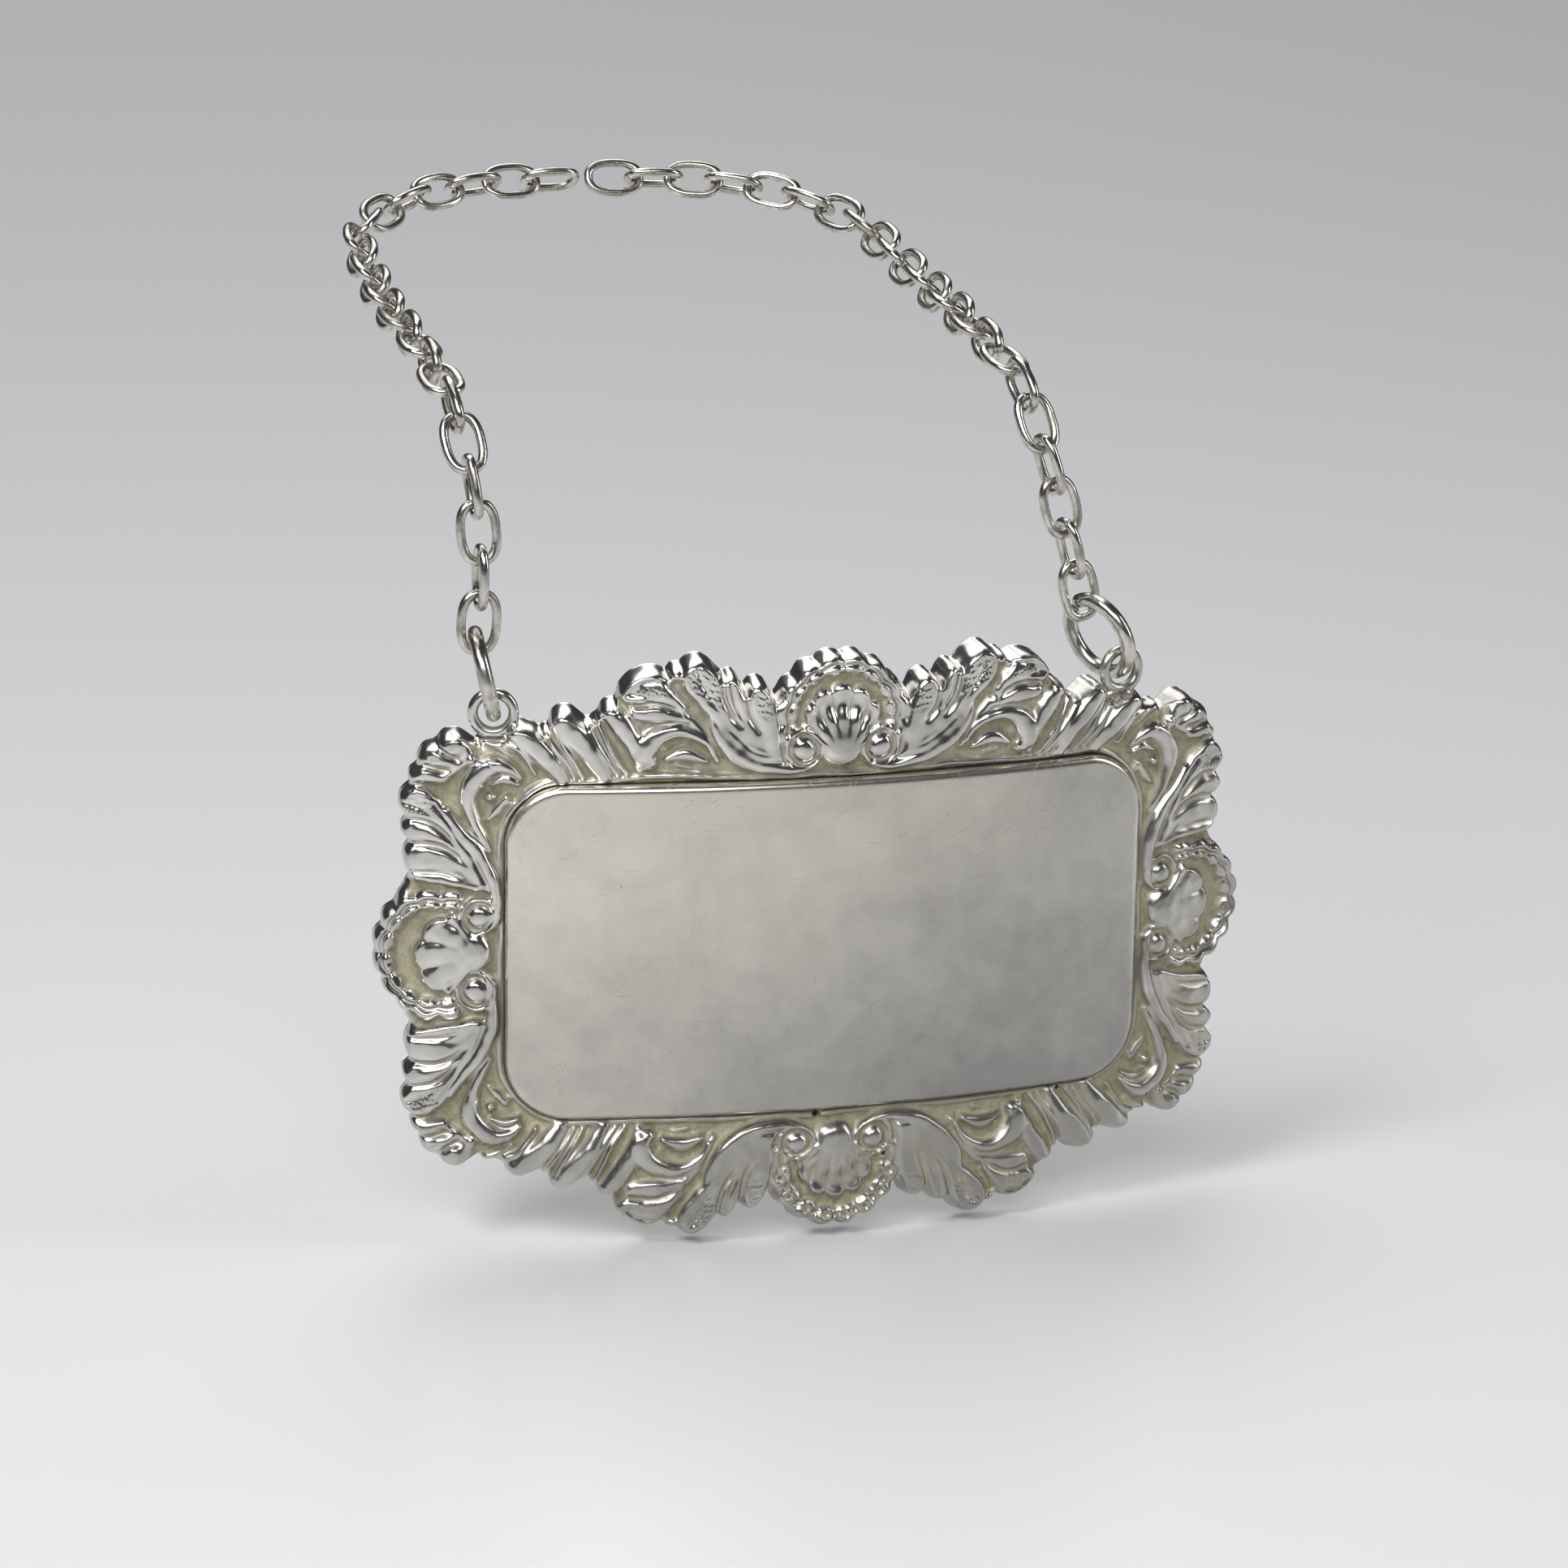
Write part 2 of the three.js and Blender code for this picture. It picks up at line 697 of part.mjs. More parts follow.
// The chain's way: up from the left ring, over the neck's shoulder, round the back of the neck
// at the given distance, and down to the right ring.
function chainRoute(rear) {
  const [left, right] = [ringLeft.top, ringRight.top];
  const level = Math.max(left.z, right.z) + frontRun;
  const [west, east] = [left.x - frontLean / 2, right.x - frontLean * 2];
  const middle = (west + east) / 2;
  const half = (east - west) / 2;
  const along = (x, y, z) => new THREE.Vector3(x, y, z);
  // Each row: how far out towards its own side, how far back, and how high above the shoulder.
  const back = [
    [1, 0.6, 0.3],
    [0.92, 0.85, 0.68],
    [0.58, 0.97, 0.93],
  ];
  const rise = (share) => level + frontStep + backRise * share;
  const points = [
    left,
    along(left.x + 0.1 * frontLean, left.y, left.z + frontRun * 0.45),
    along(west + 0.4 * frontLean, left.y + shoulderDepth * 0.06, left.z + frontRun * 0.86),
    along(west + 0.15 * frontLean, left.y + shoulderDepth * 0.34, level + frontStep * 0.55),
    along(west, left.y + shoulderDepth, level + frontStep),
    ...back.map(([out, depth, up]) => along(middle - half * out, rear * depth, rise(up))),
    along(middle, rear, rise(1)),
    ...back.toReversed().map(([out, depth, up]) => along(middle + half * out, rear * depth, rise(up))),
    along(east, left.y + shoulderDepth, level + frontStep),
    along(east + 0.35 * frontLean, right.y + shoulderDepth * 0.27, level + frontStep * 0.55),
    along(east + 0.7 * frontLean, right.y + shoulderDepth * 0.04, right.z + frontRun * 0.9),
    along(east + 1.25 * frontLean, right.y, right.z + frontRun * 0.55),
    right,
  ];
  return new THREE.CatmullRomCurve3(points, false, "centripetal");
}

const linkPitch = linkLength - 2 * linkWire - linkClearance;
const openPitch = 2 * linkWire + linkClearance + openingGap;

// Both sides' pivots on a route, each a straight pitch from the last, open in the middle,
// and how much of the route they use.
function pivotsOn(route) {
  const length = route.getLength();
  const end = route.getPoint(1);
  const endTangent = route.getTangent(1);
  const beyond = (t) => end.clone().addScaledVector(endTangent, (t - 1) * length);
  const at = (t) => (t <= 1 ? route.getPointAt(t) : beyond(t));
  const pivots = [at(0)];
  let used = 0;
  for (let i = 0; i <= 2 * linksPerSide; i++) {
    const step = i === linksPerSide ? openPitch : linkPitch;
    let next = used + step / length;
    for (let pass = 0; pass < 8; pass++) {
      next += (step - at(next).distanceTo(pivots[i])) / length;
    }
    used = next;
    pivots.push(at(used));
  }
  return { pivots, used };
}

// The chain's length sets how far back it reaches round the neck.
function chainPivots() {
  let near = 10;
  let far = 120;
  for (let pass = 0; pass < 30; pass++) {
    const rear = (near + far) / 2;
    if (pivotsOn(chainRoute(rear)).used > 1) {
      near = rear;
    } else {
      far = rear;
    }
  }
  return pivotsOn(chainRoute(far)).pivots;
}

// The links' frames from one end: centre, direction and plane normal, each a quarter turn from
// the last. Over the shoulder the chain also twists by an eighth of a turn, as it lies on its side.
function linkFrames(pivots, facing) {
  const reference = new THREE.Vector3(...facing);
  return Array.from({ length: linksPerSide }, (_, i) => {
    const along = pivots[i + 1].clone().sub(pivots[i]).normalize();
    reference.addScaledVector(along, -reference.dot(along)).normalize();
    const twist = THREE.MathUtils.smoothstep(i, 3, 15) * (Math.PI / 4);
    const normal = reference.clone().applyAxisAngle(along, (i % 2) * (Math.PI / 2) + twist);
    const centre = pivots[i].clone().lerp(pivots[i + 1], 0.5);
    return { centre, along, normal };
  });
}

function chainSide(side, pivots, facing) {
  return linkFrames(pivots, facing).map(({ centre, along, normal }, i) => {
    const name = `link_${side}_${String(i + 1).padStart(2, "0")}`;
    const mesh = named(name, linkGeometry.clone(), brightSilver);
    const across = new THREE.Vector3().crossVectors(normal, along);
    mesh.quaternion.setFromRotationMatrix(new THREE.Matrix4().makeBasis(along, across, normal));
    mesh.position.copy(centre);
    return mesh;
  });
}

const pivots = chainPivots();

const label = new THREE.Group();
label.position.set(-neckCentre.x, -neckCentre.y, -neckCentre.z);
label.add(
  named("border_frame", geometryOf(borderSolid()), silver),
  named("panel_plate", geometryOf(panelSolid), brightSilver),
  named("eyelet_left", geometryOf(eyelet(eyeletLeft, 0)), silver),
  named("eyelet_right", geometryOf(eyelet(eyeletRight, 0)), silver),
  placedRing("ring_left", ringLeft, Math.PI * 0.9),
  placedRing("ring_right", ringRight, Math.PI * 0.62),
  ...chainSide("left", pivots, [0, -1, 0]),
  ...chainSide("right", [...pivots].reverse(), [0.2, -1, 0]),
);

const part = new THREE.Group();
part.add(label);

export default part;
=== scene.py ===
import math

import bpy
import numpy as np
from mathutils import Matrix, Vector


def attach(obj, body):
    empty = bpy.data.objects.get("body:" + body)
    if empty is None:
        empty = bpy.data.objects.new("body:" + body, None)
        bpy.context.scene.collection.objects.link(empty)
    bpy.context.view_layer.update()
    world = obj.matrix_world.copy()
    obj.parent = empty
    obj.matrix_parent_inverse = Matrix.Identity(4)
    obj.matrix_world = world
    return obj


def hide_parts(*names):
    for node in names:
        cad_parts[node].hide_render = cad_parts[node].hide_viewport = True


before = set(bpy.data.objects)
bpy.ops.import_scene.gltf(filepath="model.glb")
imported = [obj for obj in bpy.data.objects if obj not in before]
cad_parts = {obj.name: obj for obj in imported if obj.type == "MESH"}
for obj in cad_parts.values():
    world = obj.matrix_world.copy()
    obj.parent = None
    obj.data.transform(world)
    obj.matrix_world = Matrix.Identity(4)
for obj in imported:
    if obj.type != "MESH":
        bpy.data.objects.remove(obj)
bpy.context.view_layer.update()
print("frame loaded")

mm = 0.001  # metres

# Camera, fitted to the photograph
cameraSettings = {
    "position": (-0.082267, -0.309975, 0.051929),  # metres
    "right": (0.9607, -0.2772, 0.0151),
    "up": (0.0569, 0.2500, 0.9666),
    "forward": (0.2717, 0.9277, -0.2560),
    "lens": 112.8,
    "sensor": 36,
    "near": 0.01,
    "far": 20,
}


def addToScene(name, data):
    made = bpy.data.objects.new(name, data)
    bpy.context.scene.collection.objects.link(made)
    return made


def makeCamera(s=cameraSettings):
    data = bpy.data.cameras.new("camera")
    data.sensor_fit = "HORIZONTAL"
    data.sensor_width = s["sensor"]
    data.lens = s["lens"]
    data.clip_start = s["near"]
    data.clip_end = s["far"]
    camera = addToScene("camera", data)
    turn = Matrix([s["right"], s["up"], [-c for c in s["forward"]]]).transposed().to_4x4()
    camera.matrix_world = Matrix.Translation(s["position"]) @ turn
    bpy.context.scene.camera = camera


makeCamera()
bpy.context.scene.view_settings.view_transform = "Standard"


# A node's output, which adds, subtracts and multiplies
class Wire:
    def __init__(self, tree, socket):
        self.tree = tree
        self.socket = socket

    def make(self, kind, settings=None, inputs=None, output=0):
        node = self.tree.nodes.new(kind)
        for name, value in (settings or {}).items():
            setattr(node, name, value)
        for name, value in (inputs or {}).items():
            if isinstance(value, Wire):
                self.tree.links.new(value.socket, node.inputs[name])
            else:
                node.inputs[name].default_value = value
        return Wire(self.tree, node.outputs[output])

    def maths(self, operation, *values, clamp=False):
        numbered = dict(enumerate(values))
        return self.make("ShaderNodeMath", {"operation": operation, "use_clamp": clamp}, numbered)

    def __add__(self, other):
        return self.maths("ADD", self, other)

    def __sub__(self, other):
        return self.maths("SUBTRACT", self, other)

    def __mul__(self, other):
        return self.maths("MULTIPLY", self, other)

    def __rsub__(self, other):
        return self.maths("SUBTRACT", other, self)

    __radd__ = __add__
    __rmul__ = __mul__

    def clamped(self):
        return self.maths("ADD", self, 0.0, clamp=True)

    # Zero at the first value, one at the second, whichever is larger, and even between them
    def spread(self, first, second):
        ends = {"From Min": first, "From Max": second, "To Min": 0.0, "To Max": 1.0}
        return self.make("ShaderNodeMapRange", {"clamp": True}, {"Value": self, **ends})

    # From one colour to another; 0, 6, 7 and 2 are the sockets of a Mix node's colours
    def between(self, first, second):
        settings = {"data_type": "RGBA", "blend_type": "MIX", "clamp_factor": True}
        return self.make("ShaderNodeMix", settings, {0: self, 6: first, 7: second}, 2)


class Material:
    def __init__(self, name, **constants):
        self.material = bpy.data.materials.new(name)
        self.material.use_nodes = True
        self.tree = self.material.node_tree
        self.shader = self.tree.nodes["Principled BSDF"]
        for socket, value in constants.items():
            self.shader.inputs[socket.replace("_", " ")].default_value = value
        self.start = Wire(self.tree, None)
        self.place = self.start.make("ShaderNodeTexCoord", output="Object")

    def attribute(self, name):
        return self.start.make("ShaderNodeAttribute", {"attribute_name": name}, output="Fac")

    # How far a place is from the label's middle along X or Z, in metres
    def fromMiddle(self, axis):
        place = self.start.make("ShaderNodeSeparateXYZ", {}, {"Vector": self.place}, axis)
        return place - mm * labelSettings["shift"]["XYZ".index(axis)]

    # Noise over the surface, with its size in mm; stretch makes it longer along one axis
    def noise(self, size, detail=3.0, roughness=0.55, turn=(0, 0, 0), stretch=(1, 1, 1), offset=0.0):
        scale = [mm * size * s for s in stretch]
        inputs = {"Vector": self.place, "Rotation": turn, "Scale": scale, "Location": (0.01 * offset,) * 3}
        vector = self.start.make("ShaderNodeMapping", {"vector_type": "TEXTURE"}, inputs)
        spec = {"Vector": vector, "Scale": 1.0, "Detail": detail, "Roughness": roughness}
        return self.start.make("ShaderNodeTexNoise", {}, spec)

    def connect(self, **wires):
        for socket, wire in wires.items():
            self.tree.links.new(wire.socket, self.shader.inputs[socket.replace("_", " ")])

    def bump(self, height, strength, distance):
        inputs = {"Height": height, "Strength": strength, "Distance": distance}
        self.connect(Normal=self.start.make("ShaderNodeBump", {}, inputs))


# Label geometry, in mm
labelSettings = {
    "bend": 80.0,  # radius of the back face about an upright axis
    "shift": (6.0, -20.0, -38.5),  # from the label's middle to the row's origin
    "halfWidth": 21.1,
    "halfHeight": 11.05,
    "cornerRadius": 4.0,
}


# Flat label places (s along the bend, z up, depth out of the back, in mm) as points in metres:
# x = (bend + depth) sin(s / bend), y = bend - (bend + depth) cos(s / bend)
def bent(s, z, depth):
    bend = labelSettings["bend"]
    x = (bend + depth) * np.sin(s / bend)
    y = bend - (bend + depth) * np.cos(s / bend)
    points = np.stack(np.broadcast_arrays(x, y, z), -1) + np.array(labelSettings["shift"])
    return points * mm


# Distance from the panel's outline in mm, negative inside it
def panelDistance(s, z):
    r = labelSettings["cornerRadius"]
    dx = np.abs(s) - (labelSettings["halfWidth"] - r)
    dz = np.abs(z) - (labelSettings["halfHeight"] - r)
    outside = np.hypot(np.maximum(dx, 0), np.maximum(dz, 0))
    return outside + np.minimum(np.maximum(dx, dz), 0) - r


# Points round the panel's outline from the middle of its right side, evenly spaced as seen at some
# distance outside it, with the way out at each: p = centre + r (cos t, sin t)
def outlineStations(count, spacingOffset):
    r = labelSettings["cornerRadius"]
    a = labelSettings["halfWidth"] - r
    b = labelSettings["halfHeight"] - r
    quarterTurn = math.pi / 2
    arc = (r + spacingOffset) * quarterTurn
    lengths = np.array([b, arc, 2 * a, arc, 2 * b, arc, 2 * a, arc, b])
    starts = np.concatenate([[0], np.cumsum(lengths)])
    t = np.arange(count) / count * starts[-1]
    part = np.clip(np.searchsorted(starts, t, side="right") - 1, 0, 8)
    share = (t - starts[part]) / lengths[part]
    # straight parts, where the centre moves, and arcs by turns
    corners = [(a, b), (-a, b), (-a, -b), (a, -b)]
    centres = np.array([(a, 0), *(c for c in corners for _ in range(2)), (a, 0)])
    centre = centres[part] + np.diff(centres, axis=0)[part] * share[:, None]
    angle = part // 2 * quarterTurn + part % 2 * quarterTurn * share
    way = np.stack([np.cos(angle), np.sin(angle)], -1)
    return centre + way * r, way


# Seeded smooth noise: a sum of plane waves in random directions
def waves(x, y, size, seed):
    waveCount = 14
    draw = np.random.default_rng(seed)
    total = np.zeros(np.broadcast(x, y).shape)
    for _ in range(waveCount):
        angle, phase = draw.uniform(0, 2 * math.pi, 2)
        k = 2 * math.pi / (size * draw.uniform(0.7, 1.6))
        total += np.sin(k * (x * math.cos(angle) + y * math.sin(angle)) + phase)
    return total / math.sqrt(waveCount)


# A mesh object, with numbers for each vertex as attributes
def makeObject(name, points, faces, attributes=None):
    mesh = bpy.data.meshes.new(name)
    mesh.from_pydata(points.reshape(-1, 3).tolist(), [], [list(f) for f in faces])
    for key, values in (attributes or {}).items():
        layer = mesh.attributes.new(key, "FLOAT", "POINT")
        layer.data.foreach_set("value", np.asarray(values, np.float32).ravel())
    mesh.polygons.foreach_set("use_smooth", [True] * len(mesh.polygons))
    mesh.validate()
    return addToScene(name, mesh)


# Quads of a grid of rows and columns; either way round it may join up
def gridFaces(rows, columns, closeRows=False, closeColumns=False, flip=False):
    r = np.arange(rows if closeRows else rows - 1)
    c = np.arange(columns if closeColumns else columns - 1)
    r, c = [m.ravel() for m in np.meshgrid(r, c, indexing="ij")]
    r2, c2 = (r + 1) % rows, (c + 1) % columns
    quads = np.stack([r * columns + c, r2 * columns + c, r2 * columns + c2, r * columns + c2], -1)
    return quads[:, ::-1] if flip else quads


# Triangles between a closed ring of points and a pole
def fanFaces(first, count, pole, flip=False):
    i = np.arange(count)
    triangles = np.stack([first + i, first + (i + 1) % count, np.full(count, pole)], -1)
    return triangles[:, [1, 0, 2]] if flip else triangles


def dress(piece, body, slot, material, *nodes):
    piece.data.materials.append(material)
    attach(piece, body)
    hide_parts(*nodes)


# The border's relief is worked out once, as a map of heights over a quarter of the label.
# u runs from the label's middle to its end and v from its middle to its top. All is in mm.
reliefSettings = {
    "step": 0.04,  # between points of the map
    "width": 30.6,
    "height": 20.2,
    "ground": 1.02,  # above the label's back
    "groundWaves": [(0.08, 1.4, 3), (0.03, 0.6, 4)],  # rows of height, size and seed
    "blend": 0.12,  # over which forms melt together
    "edgeBand": 0.5,  # of the map of cover
    "beadAt": 0.3,  # the moulding: from the panel, half width, height
    "beadWidth": 0.28,
    "beadHeight": 0.42,
    "melt": 0.075,  # how far the casting softened every edge
    "fillReach": 0.75,  # over which the ground rises to the forms round it
    "fillDepth": 0.26,  # that it stays below their mean height
    "fillBlend": 0.16,
    "softTop": 2.12,  # above which every form is worn to half
    "castWaves": (0.010, 1.0, 8),
    "grainWaves": (0.03, 0.3, 9),  # in the spooned leaves
    "softReach": 0.25,  # the two blurs that hollows are told by
    "wideReach": 0.8,
}


# A smooth line through points: the Catmull-Rom spline, p = sum of four neighbours by cubic weights
def curveThrough(points, count):
    p = np.asarray(points, float)
    single = p.ndim == 1
    p = p[:, None] if single else p
    if len(p) == 2:
        out = p[0] + (p[1] - p[0]) * np.linspace(0, 1, count)[:, None]
        return out[:, 0] if single else out
    padded = np.concatenate([[2 * p[0] - p[1]], p, [2 * p[-1] - p[-2]]])
    t = np.linspace(0, len(p) - 1, count)
    i = np.minimum(t.astype(int), len(p) - 2)
    f = (t - i)[:, None]
    a, b, c, d = [padded[i + k] for k in range(4)]
    slope = (c - a) * f
    bend = (2 * a - 5 * b + 4 * c - d) * f ** 2
    twist = (3 * b - a - 3 * c + d) * f ** 3
    out = 0.5 * (2 * b + slope + bend + twist)
    return out[:, 0] if single else out


# Nearest place on a line of segments: its distance, and its share of the way along
def distanceToLine(u, v, line):
    best = np.full(u.shape, 1e9)
    along = np.zeros(u.shape)
    for i in range(len(line) - 1):
        (au, av), (bu, bv) = line[i], line[i + 1]
        du, dv = bu - au, bv - av
        length = math.hypot(du, dv) + 1e-9
        t = np.clip(((u - au) * du + (v - av) * dv) / length ** 2, 0, 1)
        d = np.hypot(u - au - t * du, v - av - t * dv)
        nearer = d < best
        best = np.where(nearer, d, best)
        along = np.where(nearer, (i + t) / (len(line) - 1), along)
    return best, along


def insidePolygon(u, v, polygon):
    inside = np.zeros(u.shape, bool)
    for (au, av), (bu, bv) in zip(polygon, polygon[1:] + polygon[:1]):
        crosses = (av > v) != (bv > v)
        inside ^= crosses & (u < (bu - au) * (v - av) / (bv - av + 1e-12) + au)
    return inside


class Relief:
    def __init__(self, settings):
        self.step = settings["step"]
        columns = int(settings["width"] / self.step)
        rows = int(settings["height"] / self.step)
        self.u, self.v = np.meshgrid(np.arange(columns) * self.step, np.arange(rows) * self.step)
        self.ground = settings["ground"]
        self.blend = settings["blend"]
        self.edgeBand = settings["edgeBand"]
        self.height = np.full(self.u.shape, self.ground)
        self.cover = np.full(self.u.shape, -1.0)  # above zero where there is metal
        self.grain = np.zeros(self.u.shape)  # how rough the casting was left

    # Smooth maximum: h = m + b exp(-|d| / b) / 2, where m is the larger and d the difference
    def raiseTo(self, window, height, inside):
        old = self.height[window]
        gap = np.abs(old - height)
        both = np.maximum(old, height) + 0.5 * self.blend * np.exp(-gap / self.blend)
        self.height[window] = np.where(inside, both, old)

    # The part of the map round some points, with a margin in mm
    def window(self, points, margin):
        low = np.maximum(((points.min(0) - margin) / self.step).astype(int), 0)
        high = ((points.max(0) + margin) / self.step).astype(int) + 2
        return slice(low[1], high[1]), slice(low[0], high[0])

    # A rounded body along a spine: h = floor + (top - floor) (1 - (d / r)^power)^fullness across it.
    # spoon presses its middle in, past the first part of its length.
    def lobe(self, spine, radii, top, floor=None, power=2.3, fullness=0.55, spoon=0.0, grain=0.0):
        floor = self.ground if floor is None else floor
        count = 8 * len(spine)
        line = curveThrough(spine, count)
        radius = curveThrough(radii if np.ndim(radii) else [radii, radii], count)
        tops = curveThrough(top if np.ndim(top) else [top, top], count)
        window = self.window(line, radius.max() + 0.2)
        distance, along = distanceToLine(self.u[window], self.v[window], line)
        ends = np.linspace(0, 1, count)
        r = np.interp(along, ends, radius)
        share = np.clip(distance / r, 0, 1)
        body = floor + (np.interp(along, ends, tops) - floor) * (1 - share ** power) ** fullness
        dent = np.clip(1 - (share / 0.75) ** 2, 0, 1) * np.clip(along * 2.5 - 0.6, 0, 1)
        self.raiseTo(window, body - spoon * dent, share < 1)
        self.cover[window] = np.maximum(self.cover[window], (r - distance) / self.edgeBand)
        grained = np.maximum(self.grain[window], grain * dent)
        self.grain[window] = np.where(share < 1, grained, self.grain[window])

    # A leaf's blade: its edge is a quarter round, and its face is cupped inside that
    def blade(self, outline, top, edge, cup):
        line = curveThrough(outline + outline[:1], 12 * len(outline))
        window = self.window(line, 0.2)
        u, v = self.u[window], self.v[window]
        distance, _ = distanceToLine(u, v, line)
        inside = insidePolygon(u, v, [tuple(p) for p in line])
        rise = np.sqrt(1 - (1 - np.clip(distance / edge, 0, 1)) ** 2)
        hollow = cup * np.clip((distance - edge * 0.6) / (edge * 1.8), 0, 1) ** 1.5
        self.raiseTo(window, self.ground + (top - self.ground) * rise - hollow, inside)
        self.cover[window] = np.maximum(self.cover[window], np.where(inside, distance, -1))

    # A dome: h = floor + (top - floor) sqrt(1 - (d / r)^power)
    def ball(self, centre, radius, top, floor=None, power=2.0):
        floor = self.ground if floor is None else floor
        window = self.window(np.array([centre, centre]), radius + 0.1)
        distance = np.hypot(self.u[window] - centre[0], self.v[window] - centre[1])
        share = np.clip(distance / radius, 0, 1)
        self.raiseTo(window, floor + (top - floor) * np.sqrt(1 - share ** power), share < 1)
        self.cover[window] = np.maximum(self.cover[window], (radius - distance) / self.edgeBand)

    # A groove: h falls by depth exp(-(d / width)^2), less at its start
    def groove(self, spine, width, depth):
        line = curveThrough(spine, 24)
        window = self.window(line, width * 3)
        distance, along = distanceToLine(self.u[window], self.v[window], line)
        self.height[window] -= depth * np.exp(-(distance / width) ** 2) * np.clip(4 * along, 0, 1)


shellSettings = {
    "centre": 3.7,  # mm out from the panel's edge
    "lift": 0.0,
    "opening": 118,  # degrees that the rim runs to on each side
    "scallops": 16,
    "outer": 4.2,  # radius between two scallops
    "scallop": 0.36,  # its swell, outwards and inwards
    "inner": 3.05,
    "rimTop": 2.05,
    "crease": 0.42,  # between the two rolls
    "dimple": 0.16,
    "hollowTop": 1.08,
    "hollowBank": 0.3,  # its rise towards the rim
    "hollowWaves": 0.09,
    "focus": 1.35,  # where the ribs spring from
    "ribPitch": 0.165,  # radians
    "ribReach": 5.0,
    "ribFall": 1.7,  # shorter by this per square radian
    "ribEnd": 0.28,  # how far the ribs' ends stand out
    "ribSpread": 0.98,  # radians to each side
    "ribTop": 2.15,
    "ribDepth": 0.3,
    "ribBand": 0.3,  # band inside the ribs' ends
    "ridge": 0.14,  # arch that joins them
    "ballAt": 2.1,
    "ballWidth": 1.62,
    "ballHeight": 1.45,
    "ballTop": 2.3,
}
sideShell = {
    **shellSettings, "centre": 4.0, "lift": 0.12, "ribPitch": 0.27, "ribReach": 4.5, "ribFall": 0.9,
    "ribDepth": 0.16, "ribBand": 0.1,
}


# A shell whose foot is on the panel's edge, from the distances across from its middle line and out
# from that edge. Its rim and its ribs are functions of an angle.
def addShell(relief, across, rise, s):
    ground = relief.ground - s["lift"]
    distance = np.hypot(across, rise - s["centre"])
    angle = np.arctan2(across, rise - s["centre"])  # zero straight out from the panel
    opening = np.clip((math.radians(s["opening"]) - np.abs(angle)) / 0.2, 0, 1)
    wave = np.abs(np.sin(angle * s["scallops"] / 2)) ** 0.75
    outer = s["outer"] + s["scallop"] * wave
    # the hollow, deepest under the ribs
    bank = s["hollowBank"] * np.clip((distance - 2.2) / 1.2, 0, 1) ** 2
    bowl = s["hollowTop"] + bank + s["hollowWaves"] * waves(across, rise, 0.9, 5)
    within = (distance < outer - 0.1) & (opening > 0)
    relief.height[within] = bowl[within]
    # the rim: an outer roll, a lower inner one and dimples
    inner = s["inner"] - s["scallop"] * wave
    share = (distance - inner) / (outer - inner)
    swell = np.sqrt(np.clip(1 - np.abs(2 * share - 1.1) ** 2.4, 0, 1))
    crease = s["crease"] * np.exp(-((share - 0.42 - 0.12 * wave) / 0.09) ** 2)
    rim = (s["rimTop"] - ground) * (0.80 + 0.20 * wave) * swell - crease * swell
    relief.raiseTo(..., relief.ground + rim * opening, (share > 0) & (share < 1) & (opening > 0))
    dimple = np.exp(-((distance - s["inner"] - 0.1) / 0.26) ** 2) * wave ** 6
    relief.height -= s["dimple"] * dimple * opening
    # ribs that fan out from the focus
    up = rise - s["focus"]
    turn = np.arctan2(across, up)
    rib = np.abs(np.cos(math.pi * turn / s["ribPitch"] / 2)) ** 0.7
    reach = s["ribReach"] - s["ribFall"] * turn ** 2 - s["ribEnd"] * (1 - rib)
    fan = np.clip(np.hypot(across, up) / reach, 0, 1)
    band = s["ribBand"] * np.exp(-((fan - 0.72) / 0.13) ** 2)
    arch = s["ridge"] * np.exp(-((fan - 0.90) / 0.06) ** 2)
    furrow = s["ribDepth"] * (1 - rib) * np.clip(fan * 2.2 - 0.5, 0, 1)
    body = relief.ground + (s["ribTop"] - ground) * (1 - fan ** 9) ** 0.5 - band + arch - furrow
    relief.raiseTo(..., body, (fan < 1) & (np.abs(turn) < s["ribSpread"]))
    ball = np.hypot(across / s["ballWidth"], (rise - s["ballAt"]) / s["ballHeight"])
    dome = relief.ground + (s["ballTop"] - ground) * np.sqrt(np.clip(1 - ball ** 2.4, 0, 1))
    relief.raiseTo(..., dome, ball < 1)
    rimCover = np.where(opening > 0.3, (outer - distance) / relief.edgeBand, -1)
    relief.cover = np.maximum(relief.cover, rimCover)


bossSettings = {
    "floor": 1.2,
    "dish": 1.25,  # radius and height of the flat disc under the boss
    "dishTop": 1.3,
    "ring": 1.14,
    "ringWire": 0.22,
    "ringTop": 1.95,
    "ball": 0.92,
    "ballTop": 2.25,
}

# Bosses of a quarter: centre, and the stem's spine, radii and heights
bosses = [
    [(2.6, 13.1),
     [(1.9, 12.2), (2.8, 11.85), (4.2, 11.9), (5.7, 12.3), (7.1, 13.2), (8, 14.4), (8.4, 15.6)],
     [0.26, 0.34, 0.5, 0.62, 0.6, 0.46, 0.28], [1.9, 2, 2.12, 2.25, 2.28, 2.2, 2]],
    [(22.75, 2.45),
     [(22.2, 1.5), (21.8, 2.3), (21.75, 3.7), (22, 5.3), (22.7, 6.9), (23.8, 8.3), (24.5, 9.5)],
     [0.24, 0.32, 0.46, 0.56, 0.56, 0.46, 0.28], [1.9, 2, 2.1, 2.2, 2.22, 2.15, 2]],
]


